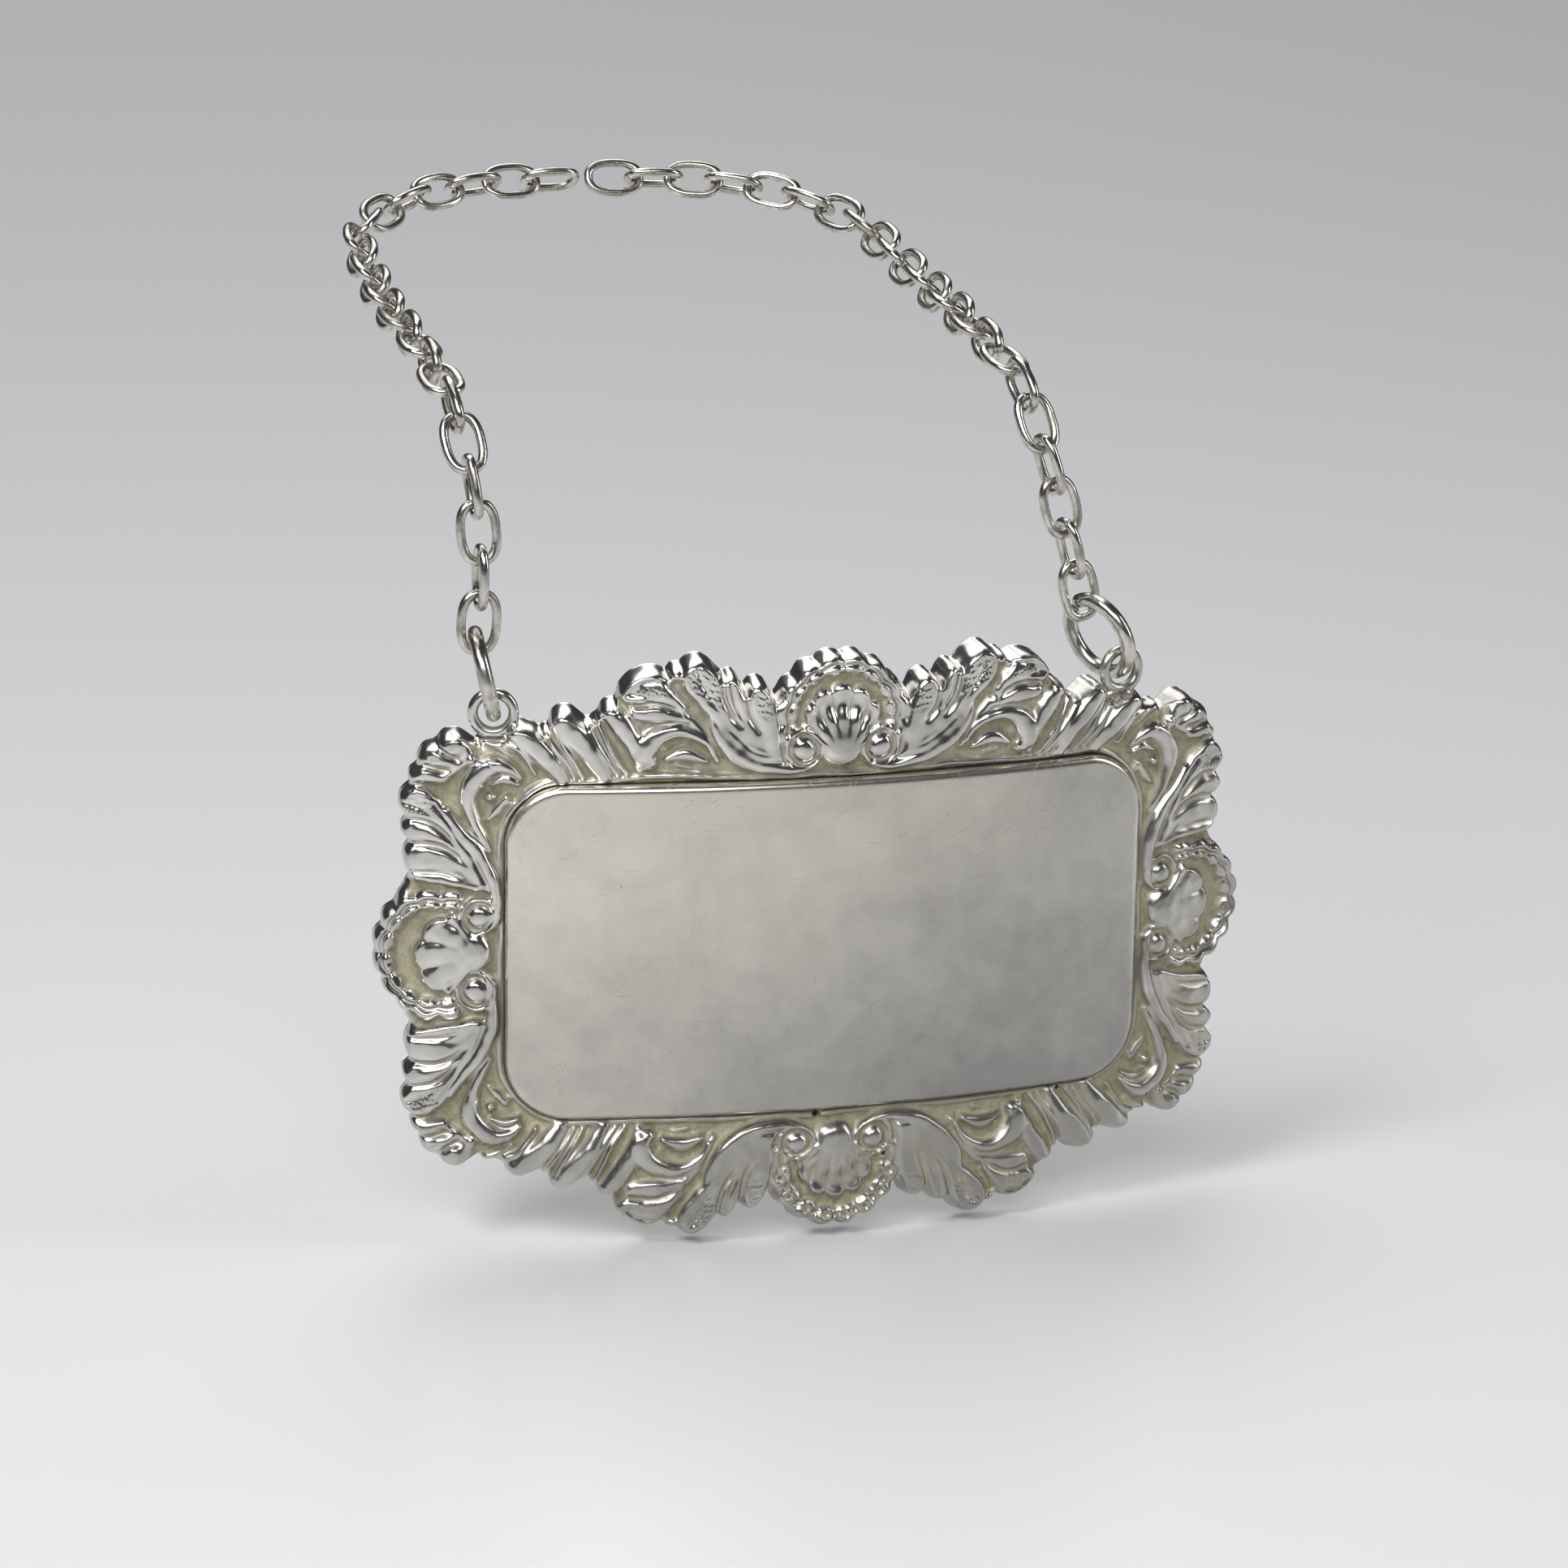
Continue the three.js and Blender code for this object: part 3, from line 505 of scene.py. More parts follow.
# A boss in a ring, which runs on along the stem as the rolled edge of the leaf beside it
def addBoss(relief, centre, stem, radii, tops, s=bossSettings):
    turns = np.linspace(0, 2 * math.pi, 17)
    circle = [(centre[0] + s["ring"] * math.cos(a), centre[1] + s["ring"] * math.sin(a)) for a in turns]
    relief.ball(centre, s["dish"], s["dishTop"], power=6)
    relief.lobe(circle, s["ringWire"], s["ringTop"], floor=s["floor"])
    relief.lobe(stem, radii, tops)
    relief.ball(centre, s["ball"], s["ballTop"], floor=s["floor"])


# The leaves of a quarter: outline from the foot past the tips and back, height and radius of the
# edge, and how deep the face is cupped
blades = [
    [[(3.6, 12.1), (3.95, 13.1), (4, 14.3), (4.2, 15.5), (4.6, 16.8), (5.2, 17.7), (5.9, 17.6),
      (6.25, 16.9), (6.5, 17.4), (6.9, 18.2), (7.4, 18.2), (7.7, 17.9), (8.2, 18.7), (9.1, 19.3),
      (10, 19), (10.4, 18.1), (10.1, 17), (9.2, 16.1), (8.4, 15.2), (7.9, 13.9), (6.9, 12.9),
      (5.4, 12.2)],
     2.15, 0.5, 0.1],
    [[(9.3, 14.9), (9.9, 16.2), (10.7, 17.4), (11.6, 18.4), (12.8, 18.4), (13.8, 17.7), (14.1, 16.9),
      (13.6, 16.4), (13.5, 15.8), (12.9, 15.2), (11.6, 15.1), (10.4, 15)],
     1.95, 0.4, 0.3],
    [[(22, 4.4), (22.5, 5.8), (23, 7.2), (23.7, 8.5), (24.7, 9.9), (25.7, 10.9), (26.9, 11),
      (27.75, 10.4), (27.85, 9.5), (27.3, 8.85), (27.7, 8.4), (27.75, 7.8), (27.25, 7.3), (27.6, 6.6),
      (27.6, 5.8), (27.1, 5), (25.8, 4.75), (24.2, 4.5), (22.9, 4.1)],
     2.12, 0.5, 0.12],
    [[(22.9, 12.6), (23.2, 13.6), (24, 14.4), (24.9, 14.4), (25.4, 13.8), (26.2, 13.5), (26.7, 12.7),
      (26.7, 12.2), (27.2, 11.8), (27.2, 11.1), (26.4, 10.9), (25, 11.1), (24.2, 11.6), (23.5, 12.1)],
     1.85, 0.42, 0.3],
]

# Lobes, scrolls and gadroons of a quarter: spine, radii, heights, and for some what else shapes them
broad = {"power": 3.2, "fullness": 0.6}
spooned = {"spoon": 0.55, "grain": 1.0}
shallow = {"spoon": 0.16, "grain": 0.5}
ribFeet = [
    (13.55, 15.3), (14.1, 15), (14.65, 14.6), (16.2, 15), (16.75, 14.6), (17.3, 14.1), (19.3, 13.7),
]

ornaments = [
    *([[(u, 11.7), (u + 0.95, 13.2), (u + 1.9, end)], [0.22, 0.28, 0.26], [1.6, 2, 1.9]]
      for u, end in ribFeet),
    # big leaf
    [[(4.6, 13.8), (4.95, 15.4), (5.4, 16.9)], [0.5, 0.85, 0.78], [2, 2.2, 2.1], shallow],
    [[(6.1, 15.4), (6.6, 16.6), (6.95, 17.6)], [0.3, 0.48, 0.42], [2.1, 2.2, 2.05]],
    [[(6.9, 15.6), (7.25, 16.7), (7.5, 17.7)], [0.26, 0.4, 0.34], [2.1, 2.2, 2]],
    [[(7.1, 15.2), (8.1, 16.6), (9.15, 18)], [0.7, 1.3, 1.15], [2, 2.35, 2.2], spooned],
    # frond
    [[(8.2, 12.9), (8.8, 14.3), (9.7, 15.4)], [0.3, 0.46, 0.5], 1.8],
    [[(10.2, 16.1), (11.4, 17), (12.6, 17.2)], [0.5, 0.9, 0.75], [1.9, 2.15, 2.05], shallow],
    [[(11, 17.8), (12, 18.15), (13.1, 17.8), (13.9, 17.1)],
     [0.3, 0.4, 0.42, 0.3], [1.85, 2.1, 2.05, 1.8]],
    [[(10.1, 15.35), (11.6, 15.8), (12.9, 15.8)], [0.45, 0.8, 0.65], [1.85, 2.2, 2.05], broad],
    [[(12.6, 16.7), (13.5, 16.75)], [0.3, 0.4], 2],
    # scroll
    [[(7.9, 12.5), (8.7, 13.8), (10.1, 14.55), (11.5, 14.35), (12.4, 13.6), (12.5, 12.8), (12.2, 12.35)],
     [0.26, 0.42, 0.56, 0.74, 0.92, 0.84, 0.6], [1.6, 1.9, 2.05, 2.2, 2.32, 2.28, 2]],
    [[(8.7, 12.5), (10, 12.95), (11.2, 12.6)], [0.3, 0.62, 0.3], 1.8],
    [[(9.6, 11.95), (10.5, 12.15)], [0.22, 0.26], 1.35],
    # gadroons
    [[(12.7, 12), (13.2, 13.7), (13.95, 15), (14.5, 15.7)],
     [0.45, 0.74, 0.92, 0.8], [1.7, 2.12, 2.2, 2.1]],
    [[(14.9, 11.6), (15.7, 13.1), (16.8, 14.4), (17.45, 15.15)],
     [0.5, 0.86, 1.04, 0.92], [1.7, 2.15, 2.22, 2.12]],
    [[(17.6, 11.5), (18.5, 12.7), (19.6, 13.8), (20.35, 14.3)],
     [0.5, 0.88, 1.02, 0.88], [1.7, 2.15, 2.22, 2.12]],
    [[(20.8, 12.9), (21.6, 13.5), (22.4, 13.75)], [0.3, 0.4, 0.36], 1.6],
    # corner
    [[(20.3, 11.5), (21, 12.1), (21.9, 12.25), (22.9, 11.6), (23.35, 10.5), (23.1, 9.2), (22.5, 7.9),
      (22, 6.9)],
     [0.26, 0.52, 0.7, 0.76, 0.68, 0.52, 0.44, 0.3], [1.8, 2.08, 2.2, 2.25, 2.18, 2.05, 1.95, 1.7]],
    [[(20.4, 11.05), (21.2, 11.4), (22.1, 11.1)], [0.18, 0.4, 0.18], 1.85],
    [[(21.1, 10.2), (21.6, 9.5), (22.1, 8.9)], [0.25, 0.42, 0.25], 1.55],
    [[(24.9, 11.5), (25.9, 11.7), (26.5, 11.6)], [0.5, 0.75, 0.6], [1.9, 2.15, 2]],
    [[(24.3, 12.4), (25.2, 12.75), (25.8, 12.8)], [0.5, 0.85, 0.75], [1.9, 2.2, 2.05], shallow],
    [[(23.7, 13.1), (24.2, 13.5), (24.6, 13.6)], [0.6, 0.95, 0.8], [1.9, 2.25, 2.1]],
    # side leaf
    [[(24.4, 8.3), (25.6, 9.5), (26.7, 10.1)], [0.6, 1.1, 0.95], [1.9, 2.3, 2.15], spooned],
    [[(24.6, 7.5), (26, 8), (27.1, 8.1)], [0.4, 0.62, 0.52], [2.05, 2.2, 2.05]],
    [[(24, 6.2), (25.4, 6.4), (26.6, 6.25)], [0.6, 0.95, 0.9], [2, 2.22, 2.1], broad],
    [[(22.3, 4.3), (24.2, 4.8), (26, 5.05), (27, 5.1)],
     [0.2, 0.28, 0.3, 0.26], [1.95, 2.15, 2.1, 1.9]],
]

# Balls: centre, radius and height
balls = [
    [(10.5, 18.2), 0.55, 2], [(23.25, 12.6), 0.5, 2.05], [(22.1, 10.35), 0.42, 2],
    [(21, 9.9), 0.3, 1.5], [(11.3, 13.3), 0.32, 1.5], [(12.9, 15.1), 0.28, 1.7],
]

# Folds in the leaves and the seam under the top and bottom shells: line, width and depth
folds = [
    [[(5.4, 14.2), (6, 15.6), (6.2, 17)], 0.16, 0.34],
    [[(6.3, 15), (6.9, 16.2), (7.2, 17.6)], 0.1, 0.22],
    [[(6.4, 14.6), (7.3, 16), (7.8, 17.8)], 0.16, 0.34],
    [[(7.9, 15.9), (8.7, 17), (9.3, 18.3)], 0.1, 0.14],
    [[(4.6, 12.7), (5.9, 13.3), (7.2, 14.6)], 0.05, 0.06],
    [[(10.2, 15.7), (11.6, 16.35), (13.2, 16.3)], 0.14, 0.26],
    [[(10.3, 16.6), (11.4, 17.8), (12.8, 17.7)], 0.08, 0.16],
    [[(23.2, 5.9), (24.4, 6.9), (25.6, 7.25), (27.3, 7.2)], 0.16, 0.32],
    [[(23.8, 7), (24.8, 8.1), (25.8, 8.7), (27.2, 8.8)], 0.13, 0.28],
    [[(23, 6.6), (24.2, 8.4), (25.3, 9.9)], 0.1, 0.18],
    [[(23.6, 5.1), (24.8, 5.45), (25.9, 5.55), (27.2, 5.5)], 0.11, 0.22],
    [[(25.4, 9.1), (26.3, 9.6), (27.2, 9.8)], 0.08, 0.12],
    [[(23.9, 12.6), (24.9, 13.2), (25.5, 13.7)], 0.14, 0.24],
    [[(24.2, 12), (25.4, 12.2), (26.7, 12.2)], 0.14, 0.24],
    [[(0, 11.8), (0.8, 11.75), (1.5, 11.9), (2, 11.85)], 0.08, 0.5],
]


def addOrnaments(relief):
    for leaf in blades:
        relief.blade(*leaf)
    for spine, radii, top, *extra in ornaments:
        relief.lobe(spine, radii, top, **(extra[0] if extra else {}))
    for ball in balls:
        relief.ball(*ball)
    for fold in folds:
        relief.groove(*fold)
    for boss in bosses:
        addBoss(relief, *boss)


# The ground's edge as (u, v) points; the ornaments reach past it
groundEdge = [
    (0, 18.2), (2.4, 18), (3.9, 16.9), (4.6, 16.4), (5.6, 16.9), (7.2, 17.6), (9.2, 18.2), (10.6, 18),
    (12.5, 17.7), (14, 16.6), (15.2, 15.5), (16.4, 15.2), (17.6, 15.2), (18.9, 14.7), (20.4, 14.6),
    (22, 14), (23.4, 13.6), (25, 13.7), (26.3, 12.5), (26.9, 11), (27.3, 10), (27.5, 8.8),
    (27.2, 7.4), (27.1, 5.4), (27.6, 4.3), (28.4, 2.6), (28.9, 0),
]


# The map of heights blurred by a bell curve, with its radius in mm
def blurred(relief, size):
    radius = size / relief.step
    reach = int(radius * 3)
    kernel = np.exp(-0.5 * (np.arange(-reach, reach + 1) / radius) ** 2)
    kernel /= kernel.sum()
    padded = np.pad(relief.height, reach, mode="reflect")
    rows = np.apply_along_axis(np.convolve, 0, padded, kernel, "valid")
    return np.apply_along_axis(np.convolve, 1, rows, kernel, "valid")


# The whole map, then what casting and wear did to it: edges blurred, ground filled by a smooth
# maximum, tops worn down, and fine unevenness
def buildRelief(s=reliefSettings):
    relief = Relief(s)
    u, v = relief.u, relief.v
    edge = curveThrough(groundEdge, 240)
    polygon = [(-1.0, -1.0), (-1.0, edge[0][1])] + [tuple(p) for p in edge] + [(edge[-1][0], -1.0)]
    relief.cover[insidePolygon(u, v, polygon)] = 0.2
    for height, size, seed in s["groundWaves"]:
        relief.height += height * waves(u, v, size, seed)
    addShell(relief, u, v - labelSettings["halfHeight"], shellSettings)
    addShell(relief, v, u - labelSettings["halfWidth"], sideShell)
    addOrnaments(relief)
    bead = 1 - np.clip(np.abs(panelDistance(u, v) - s["beadAt"]) / s["beadWidth"], 0, 1) ** 2
    relief.raiseTo(..., relief.ground + s["beadHeight"] * bead ** 0.6, bead > 0)
    relief.height = blurred(relief, s["melt"])
    fill = blurred(relief, s["fillReach"]) - s["fillDepth"]
    gap = np.abs(fill - relief.height) / s["fillBlend"]
    relief.height = np.maximum(relief.height, fill) + 0.5 * s["fillBlend"] * np.exp(-gap)
    relief.height -= 0.5 * np.clip(relief.height - s["softTop"], 0, None)
    for (height, size, seed), where in ((s["castWaves"], 1.0), (s["grainWaves"], relief.grain)):
        relief.height += height * where * waves(u, v, size, seed)
    relief.soft, relief.wide = blurred(relief, s["softReach"]), blurred(relief, s["wideReach"])
    return relief


# A map of the quarter read at any points, in proportion between its own
def sample(relief, values, u, v):
    x = np.clip(u / relief.step, 0, values.shape[1] - 1.001)
    y = np.clip(v / relief.step, 0, values.shape[0] - 1.001)
    i, j = x.astype(int), y.astype(int)
    fx, fy = x - i, y - j
    top = values[j, i] * (1 - fx) + values[j, i + 1] * fx
    bottom = values[j + 1, i] * (1 - fx) + values[j + 1, i + 1] * fx
    return top * (1 - fy) + bottom * fy


borderSettings = {
    "stations": 2000,
    "stationOffset": 4.2,  # mm outside the panel where they are evenly spaced
    "searchReach": 10.0,  # mm over which the metal's edge is looked for
    "searchStep": 0.02,
    "rows": 100,
    "edgeRows": 7,
    "backRows": 5,
    "innerGap": 0.05,  # mm from the panel's outline
    "ledge": 1.0,  # mm that the back reaches under the panel
    "seat": 0.7,  # mm, thickness of the part under the panel
    "edgeRound": 0.75,  # mm over which the outer edge falls
    "edgeLow": 0.2,  # mm that is left of it there
    "edgeSwell": 0.05,
    "wander": [(0.10, 9, 21, 23), (0.03, 2.5, 22, 24)],  # rows of mm, size in mm and two seeds
    "narrowHollow": 2.6,  # how much hollower a place is per mm below either blur
    "wideHollow": 1.5,
    "wallRaised": 1.6,  # mm that wall and back count as raised, so they stay polished
    "backRaised": 1.66,
}

# The bottom shell's rim is a row of knobs, each with a dimple
knobSettings = {
    "centre": 14.75,  # mm below the label's middle
    "ring": 3.78,
    "pitch": 22.5,  # degrees
    "radius": 0.80,
    "foot": 1.1,
    "top": 2.12,
    "dimple": 0.24,
    "dimpleDepth": 0.34,
}

# Pinholes of the casting: place, radius and depth
pinholes = [
    [(-1.2, -11.45), 0.22, 0.7], [(15.6, -11.42), 0.15, 0.6],
    [(3.2, -14.3), 0.14, 0.5], [(1.9, 12.1), 0.12, 0.4],
]


# Distance from the panel to the edge of the metal at each station, in mm
def findReach(relief, base, way, s=borderSettings):
    offsets = np.arange(0, s["searchReach"], s["searchStep"])
    u = np.abs(base[:, :1] + way[:, :1] * offsets)
    v = np.abs(base[:, 1:] + way[:, 1:] * offsets)
    cover = sample(relief, relief.cover, u, v)
    return offsets[len(offsets) - 1 - np.argmax((cover > 0)[:, ::-1], 1)]


# Knobs h = foot + (top - foot) sqrt(1 - (d / r)^2.2) and their dimples: the new heights, and how
# much of a hollow each place is
def addKnobs(su, sv, height, s=knobSettings):
    hollow = np.zeros(height.shape)
    for i in range(-4, 4):
        angle = math.radians(s["pitch"] * (i + 0.5))
        ku, kv = s["ring"] * math.sin(angle), -s["centre"] - s["ring"] * math.cos(angle)
        share = np.hypot(su - ku, sv - kv) / s["radius"]
        knob = s["foot"] + (s["top"] - s["foot"]) * np.sqrt(np.clip(1 - share ** 2.2, 0, 1))
        height = np.where(share < 1, np.maximum(height, knob), height)
        inward = 0.18 + 0.08 * math.sin(5 * i)
        du, dv = ku - inward * math.sin(angle + 0.4 * i), kv + inward * math.cos(angle)
        dent = np.exp(-((su - du) ** 2 + (sv - dv) ** 2) / s["dimple"] ** 2)
        height = height - s["dimpleDepth"] * dent
        # a dimple counts as hollow: crust, and some painted shade in the cast silver
        hollow += 0.8 * dent
    return height, hollow


# The border as one grid: a row is a line round the panel, place = base + way * out, with its depth
# read from the relief, or even on the wall, the back and the seat
def makeBorder(relief, s=borderSettings):
    n = s["stations"]
    base, way = outlineStations(n, s["stationOffset"])
    reach = findReach(relief, base, way)
    weights = np.array([1, 2, 3, 2, 1]) / 9
    reach = np.convolve(np.concatenate([reach[-2:], reach, reach[:2]]), weights, "valid")
    share = np.linspace(0, 1, s["rows"])[:, None]
    offset = s["innerGap"] + (reach - s["innerGap"]) * share
    su, sv = base[:, 0] + way[:, 0] * offset, base[:, 1] + way[:, 1] * offset
    # cast unevenly: every quarter is read a little off its place
    wanderU = sum(much * waves(su, sv, size, seed) for much, size, seed, _ in s["wander"])
    wanderV = sum(much * waves(su, sv, size, seed) for much, size, _, seed in s["wander"])
    u, v = np.abs(su + wanderU), np.abs(sv + wanderV)
    height, soft, wide = [sample(relief, m, u, v) for m in (relief.height, relief.soft, relief.wide)]
    hollow = np.clip((soft - height) * s["narrowHollow"] + (wide - height) * s["wideHollow"], -1, 1)
    height, dimples = addKnobs(su, sv, height)
    hollow = hollow + dimples
    for (pu, pv), radius, deep in pinholes:
        pit = np.exp(-(((su - pu) ** 2 + (sv - pv) ** 2) / radius ** 2) ** 2)
        height = height - deep * pit
        # a pinhole counts as very hollow, so the cast silver paints it near black as painted shade
        hollow = hollow + 3 * pit
    # outer edge: h falls by a quarter circle, and counts as polished
    toEdge = np.clip((reach - offset) / s["edgeRound"], 0, 1)
    height = s["edgeLow"] + (height - s["edgeLow"]) * np.sqrt(1 - (1 - toEdge) ** 2)
    hollow = hollow - 1.2 * (1 - toEdge)
    raised = height + 1.4 * (1 - toEdge)
    # wall, back and the seat inside: way out, depth, how hollow and how raised
    rows = []
    for turn in np.linspace(0, math.pi / 2, s["edgeRows"])[1:]:
        out = reach + s["edgeSwell"] * math.sin(2 * turn)
        rows.append((out, s["edgeLow"] * (1 - math.sin(turn)), -0.2, s["wallRaised"]))
    for f in np.linspace(0, 1, s["backRows"] + 1)[1:]:
        rows.append((reach * (1 - f) - s["ledge"] * f, 0.0, 0.05, s["backRaised"]))
    for out in (-s["ledge"], s["innerGap"]):
        rows.append((out, s["seat"], 0.6, s["backRaised"]))
    grids = [np.concatenate([front, [np.broadcast_to(row[k], n) for row in rows]])
             for k, front in enumerate((offset, height, hollow, raised))]
    out, depth, hollow, raised = grids
    points = bent(base[:, 0] + way[:, 0] * out, base[:, 1] + way[:, 1] * out, depth)
    return points, raised, hollow


# Normals of a whole closed grid, so that its pieces shade as one
def gridNormals(points):
    down = np.roll(points, -1, 0) - np.roll(points, 1, 0)
    along = np.roll(points, -1, 1) - np.roll(points, 1, 1)
    normal = np.cross(down, along)
    return normal / (np.linalg.norm(normal, axis=-1, keepdims=True) + 1e-12)


# The border in quarters, each closed at its ends, to keep its meshes small
def borderPieces(points, raised, hollow, material):
    rows, n, _ = points.shape
    normals = gridNormals(points)
    for q, corner in enumerate(("right_upper", "left_upper", "left_lower", "right_lower")):
        columns = np.arange(q * n // 4, (q + 1) * n // 4 + 1) % n
        count = len(columns)
        faces = gridFaces(rows, count, closeRows=True).tolist()
        faces.append([r * count for r in reversed(range(rows))])
        faces.append([r * count + count - 1 for r in range(rows)])
        marks = {"relief": raised[:, columns], "hollow": hollow[:, columns]}
        made = makeObject("border_" + corner, points[:, columns], faces, marks)
        made.data.normals_split_custom_set_from_vertices(normals[:, columns].reshape(-1, 3))
        dress(made, "label", "cast_silver", material, "border_frame")


# Cast work: polished where hands reach it, with a pale matt crust of old polish in the hollows, and painted
# shade, near black, in the narrowest and deepest hollows:
# crust = 0.95 hollow - 0.22 + 0.45 low + 0.7 lower + mottle
castSettings = {
    "bright": ((0.39, 0.38, 0.35, 1), (0.66, 0.645, 0.61, 1)),
    "crust": ((0.33, 0.31, 0.20, 1), (0.45, 0.42, 0.295, 1)),
    # near black: the painted shade of narrow, deep hollows, dimples and pinholes
    "paintedCreviceShade": (0.10, 0.09, 0.06, 1),
    "polished": 1.85,  # mm, work that hands reach, and work that they don't
    "unpolished": 1.4,
    "down": -12.0,  # per metre: towards the lower right the bright metal is darker, as painted shade, and crust and roughness grow
    "right": 6.0,
}


def castSilver(s=castSettings):
    m = Material("cast silver")
    hollow = m.attribute("hollow")
    low = m.attribute("relief").spread(s["polished"], s["unpolished"])
    cloud = m.noise(2.6, detail=4)
    grain = m.noise(0.16, detail=3)
    worn = m.noise(0.7, detail=4)
    lower = m.fromMiddle("Z") * s["down"] + m.fromMiddle("X") * s["right"]
    mottle = (cloud - 0.5) * 0.35 + (worn - 0.5) * 0.3
    crust = (hollow.spread(-0.35, 0.75) * 0.95 - 0.22 + low * 0.45 + lower * 0.7 + mottle).clamped()
    # Painted shade: the bright metal darkens towards the lower right by lower, besides its uneven cloud
    bright = (cloud - lower).spread(0.25, 0.8).between(*s["bright"])
    dull = grain.spread(0.35, 0.65).between(*s["crust"])
    # Painted shade: narrow, deep hollows, dimples and pinholes go near black
    paintedCreviceShade = (hollow.spread(0.6, 1.0) * worn.spread(0.4, 0.6) * 0.7 + hollow.spread(1.4, 2.0)).clamped()
    m.connect(Base_Color=paintedCreviceShade.between(crust.between(bright, dull), s["paintedCreviceShade"]))
    m.connect(Metallic=1 - crust * 0.75)
    m.connect(Roughness=0.20 + crust * 0.30 + lower.spread(-0.1, 0.3) * 0.13 + (worn - 0.5) * 0.08)
    m.bump(grain * crust * 0.6 + m.noise(0.5, detail=3) * 0.5, 0.3, 0.00005)
    return m.material


# Rolled plate: from its pale, lit end to its dark, shaded end by shade = fall + 0.5 + 0.9 cloud + 0.45 film,
# both about zero, where fall is a painted reflection shade, darker towards the lower right, and cloud and
# film are uneven tone, with stray hairline scratches where a stretched fine noise is high
plateSettings = {
    "paleLitEnd": (0.77, 0.74, 0.655, 1),
    "darkShadedEnd": (0.34, 0.333, 0.318, 1),
    "right": 13.0,  # per metre: painted reflection shade, darker towards the lower right
    "down": -34.0,
    "scratch": (0.27, 0.245, 0.18, 1),
    "scratches": [(0.7, 0.05), (-0.5, 0.06), (1.2, 0.05), (2.2, 0.07), (0.1, 0.06)],  # turn and size in mm
}


def plateSilver(s=plateSettings):
    m = Material("plate silver", Metallic=1.0)
    cloud = m.noise(13, detail=4)
    film = m.noise(2.2, detail=6, roughness=0.65)
    # Painted reflection shade: the plate darkens towards the right and towards the bottom
    fall = m.fromMiddle("X") * s["right"] + m.fromMiddle("Z") * s["down"]
    shade = (fall + 0.5 + (cloud - 0.5) * 0.9 + (film - 0.5) * 0.45).clamped()
    marks = 0
    for i, (turn, size) in enumerate(s["scratches"]):
        fine = m.noise(size, detail=1, turn=(0, turn, 0), stretch=(40, 40, 1), offset=3.7 * i)
        patch = m.noise(3.0, detail=1, offset=11.0 + i).spread(0.56, 0.68)
        marks = fine.spread(0.68, 0.77) * patch + marks
    specks = m.noise(0.5, detail=2, offset=5.0).spread(0.735, 0.78) * 0.6
    metal = shade.between(s["paleLitEnd"], s["darkShadedEnd"])
    m.connect(Base_Color=(marks * 0.3 + specks).clamped().between(metal, s["scratch"]))
    m.connect(Roughness=0.19 + film * 0.13 + marks.clamped() * 0.15)
    m.bump(film * 0.3 - marks * 0.5 + m.noise(0.2, detail=2) * 0.15, 0.18, 0.00005)
    return m.material


wireFinish = {"silver": (0.60, 0.585, 0.54, 1), "grime": (0.27, 0.25, 0.205, 1)}


# Drawn wire: bright, with dark grime = 0.8 cloud, where cloud is above 0.45
def wireSilver(s=wireFinish):
    m = Material("wire silver", Metallic=1.0)
    cloud = m.noise(1.1, detail=5)
    grime = (cloud.spread(0.45, 0.7) * 0.8).clamped()
    m.connect(Base_Color=grime.between(s["silver"], s["grime"]))
    m.connect(Roughness=0.14 + grime * 0.25 + m.noise(0.25, detail=3) * 0.08)
    m.bump(m.noise(0.3, detail=3) + cloud * 0.6, 0.22, 0.00004)
    return m.material


# The plain panel, in mm
panelSettings = {
    "bottom": 0.78,
    "edgeTop": 1.93,
    "crown": 0.28,
    "bevel": 0.5,
    "backInset": 1.2,  # width of the flat strip round the back
    "unevenness": [(0.012, 9, 41), (0.004, 4, 42)],  # rows of height, size and seed
    "stations": 720,
    "rings": 84,
    "backRings": 24,
}


# Rings from the back's middle out, up the wall, round the edge and in again. The middle stands up:
# depth grows by crown (1 - a^4)(1 - b^2), and hand work leaves it uneven.
def makePanel(material, s=panelSettings):
    n = s["stations"]
    base, way = outlineStations(n, 0)
    rim = base - way * s["backInset"]
    top = base - way * s["bevel"]
    rows = [(rim * f, s["bottom"]) for f in np.linspace(0, 1, s["backRings"] + 1)[1:-1]]
    rows += [(rim, s["bottom"]), (base - way * 0.02, s["bottom"]), (base, s["bottom"] + 0.3)]
    for turn in np.linspace(0, math.pi / 2, 9)[:-1]:
        edge = base - way * (s["bevel"] * (1 - math.cos(turn)))
        rows.append((edge, s["edgeTop"] - s["bevel"] * (1 - math.sin(turn))))
    rows += [(top * (1 - f), s["edgeTop"]) for f in np.linspace(0, 1, s["rings"])[:-1]]
    su, sv = np.moveaxis(np.stack([row[0] for row in rows]), -1, 0)
    a, b = su / labelSettings["halfWidth"], sv / labelSettings["halfHeight"]
    swell = s["crown"] * np.clip(1 - a ** 4, 0, 1) * np.clip(1 - b ** 2, 0, 1)
    uneven = sum(height * waves(su, sv, size, seed) for height, size, seed in s["unevenness"])
    swell += uneven * np.clip(-panelDistance(su, sv) / 2, 0, 1)
    front = np.arange(len(rows)) >= s["backRings"] + 2
    depth = np.array([row[1] for row in rows])[:, None] + front[:, None] * swell
    poles = bent(np.zeros(2), np.zeros(2), np.array([s["edgeTop"] + s["crown"], s["bottom"]]))
    total = len(rows) * n
    faces = [*gridFaces(len(rows), n, closeColumns=True, flip=True),
             *fanFaces(total - n, n, total), *fanFaces(0, n, total + 1, flip=True)]
    points = np.concatenate([bent(su, sv, depth).reshape(-1, 3), poles])
    dress(makeObject("panel_face", points, faces), "label", "plate_silver", material, "panel_plate")


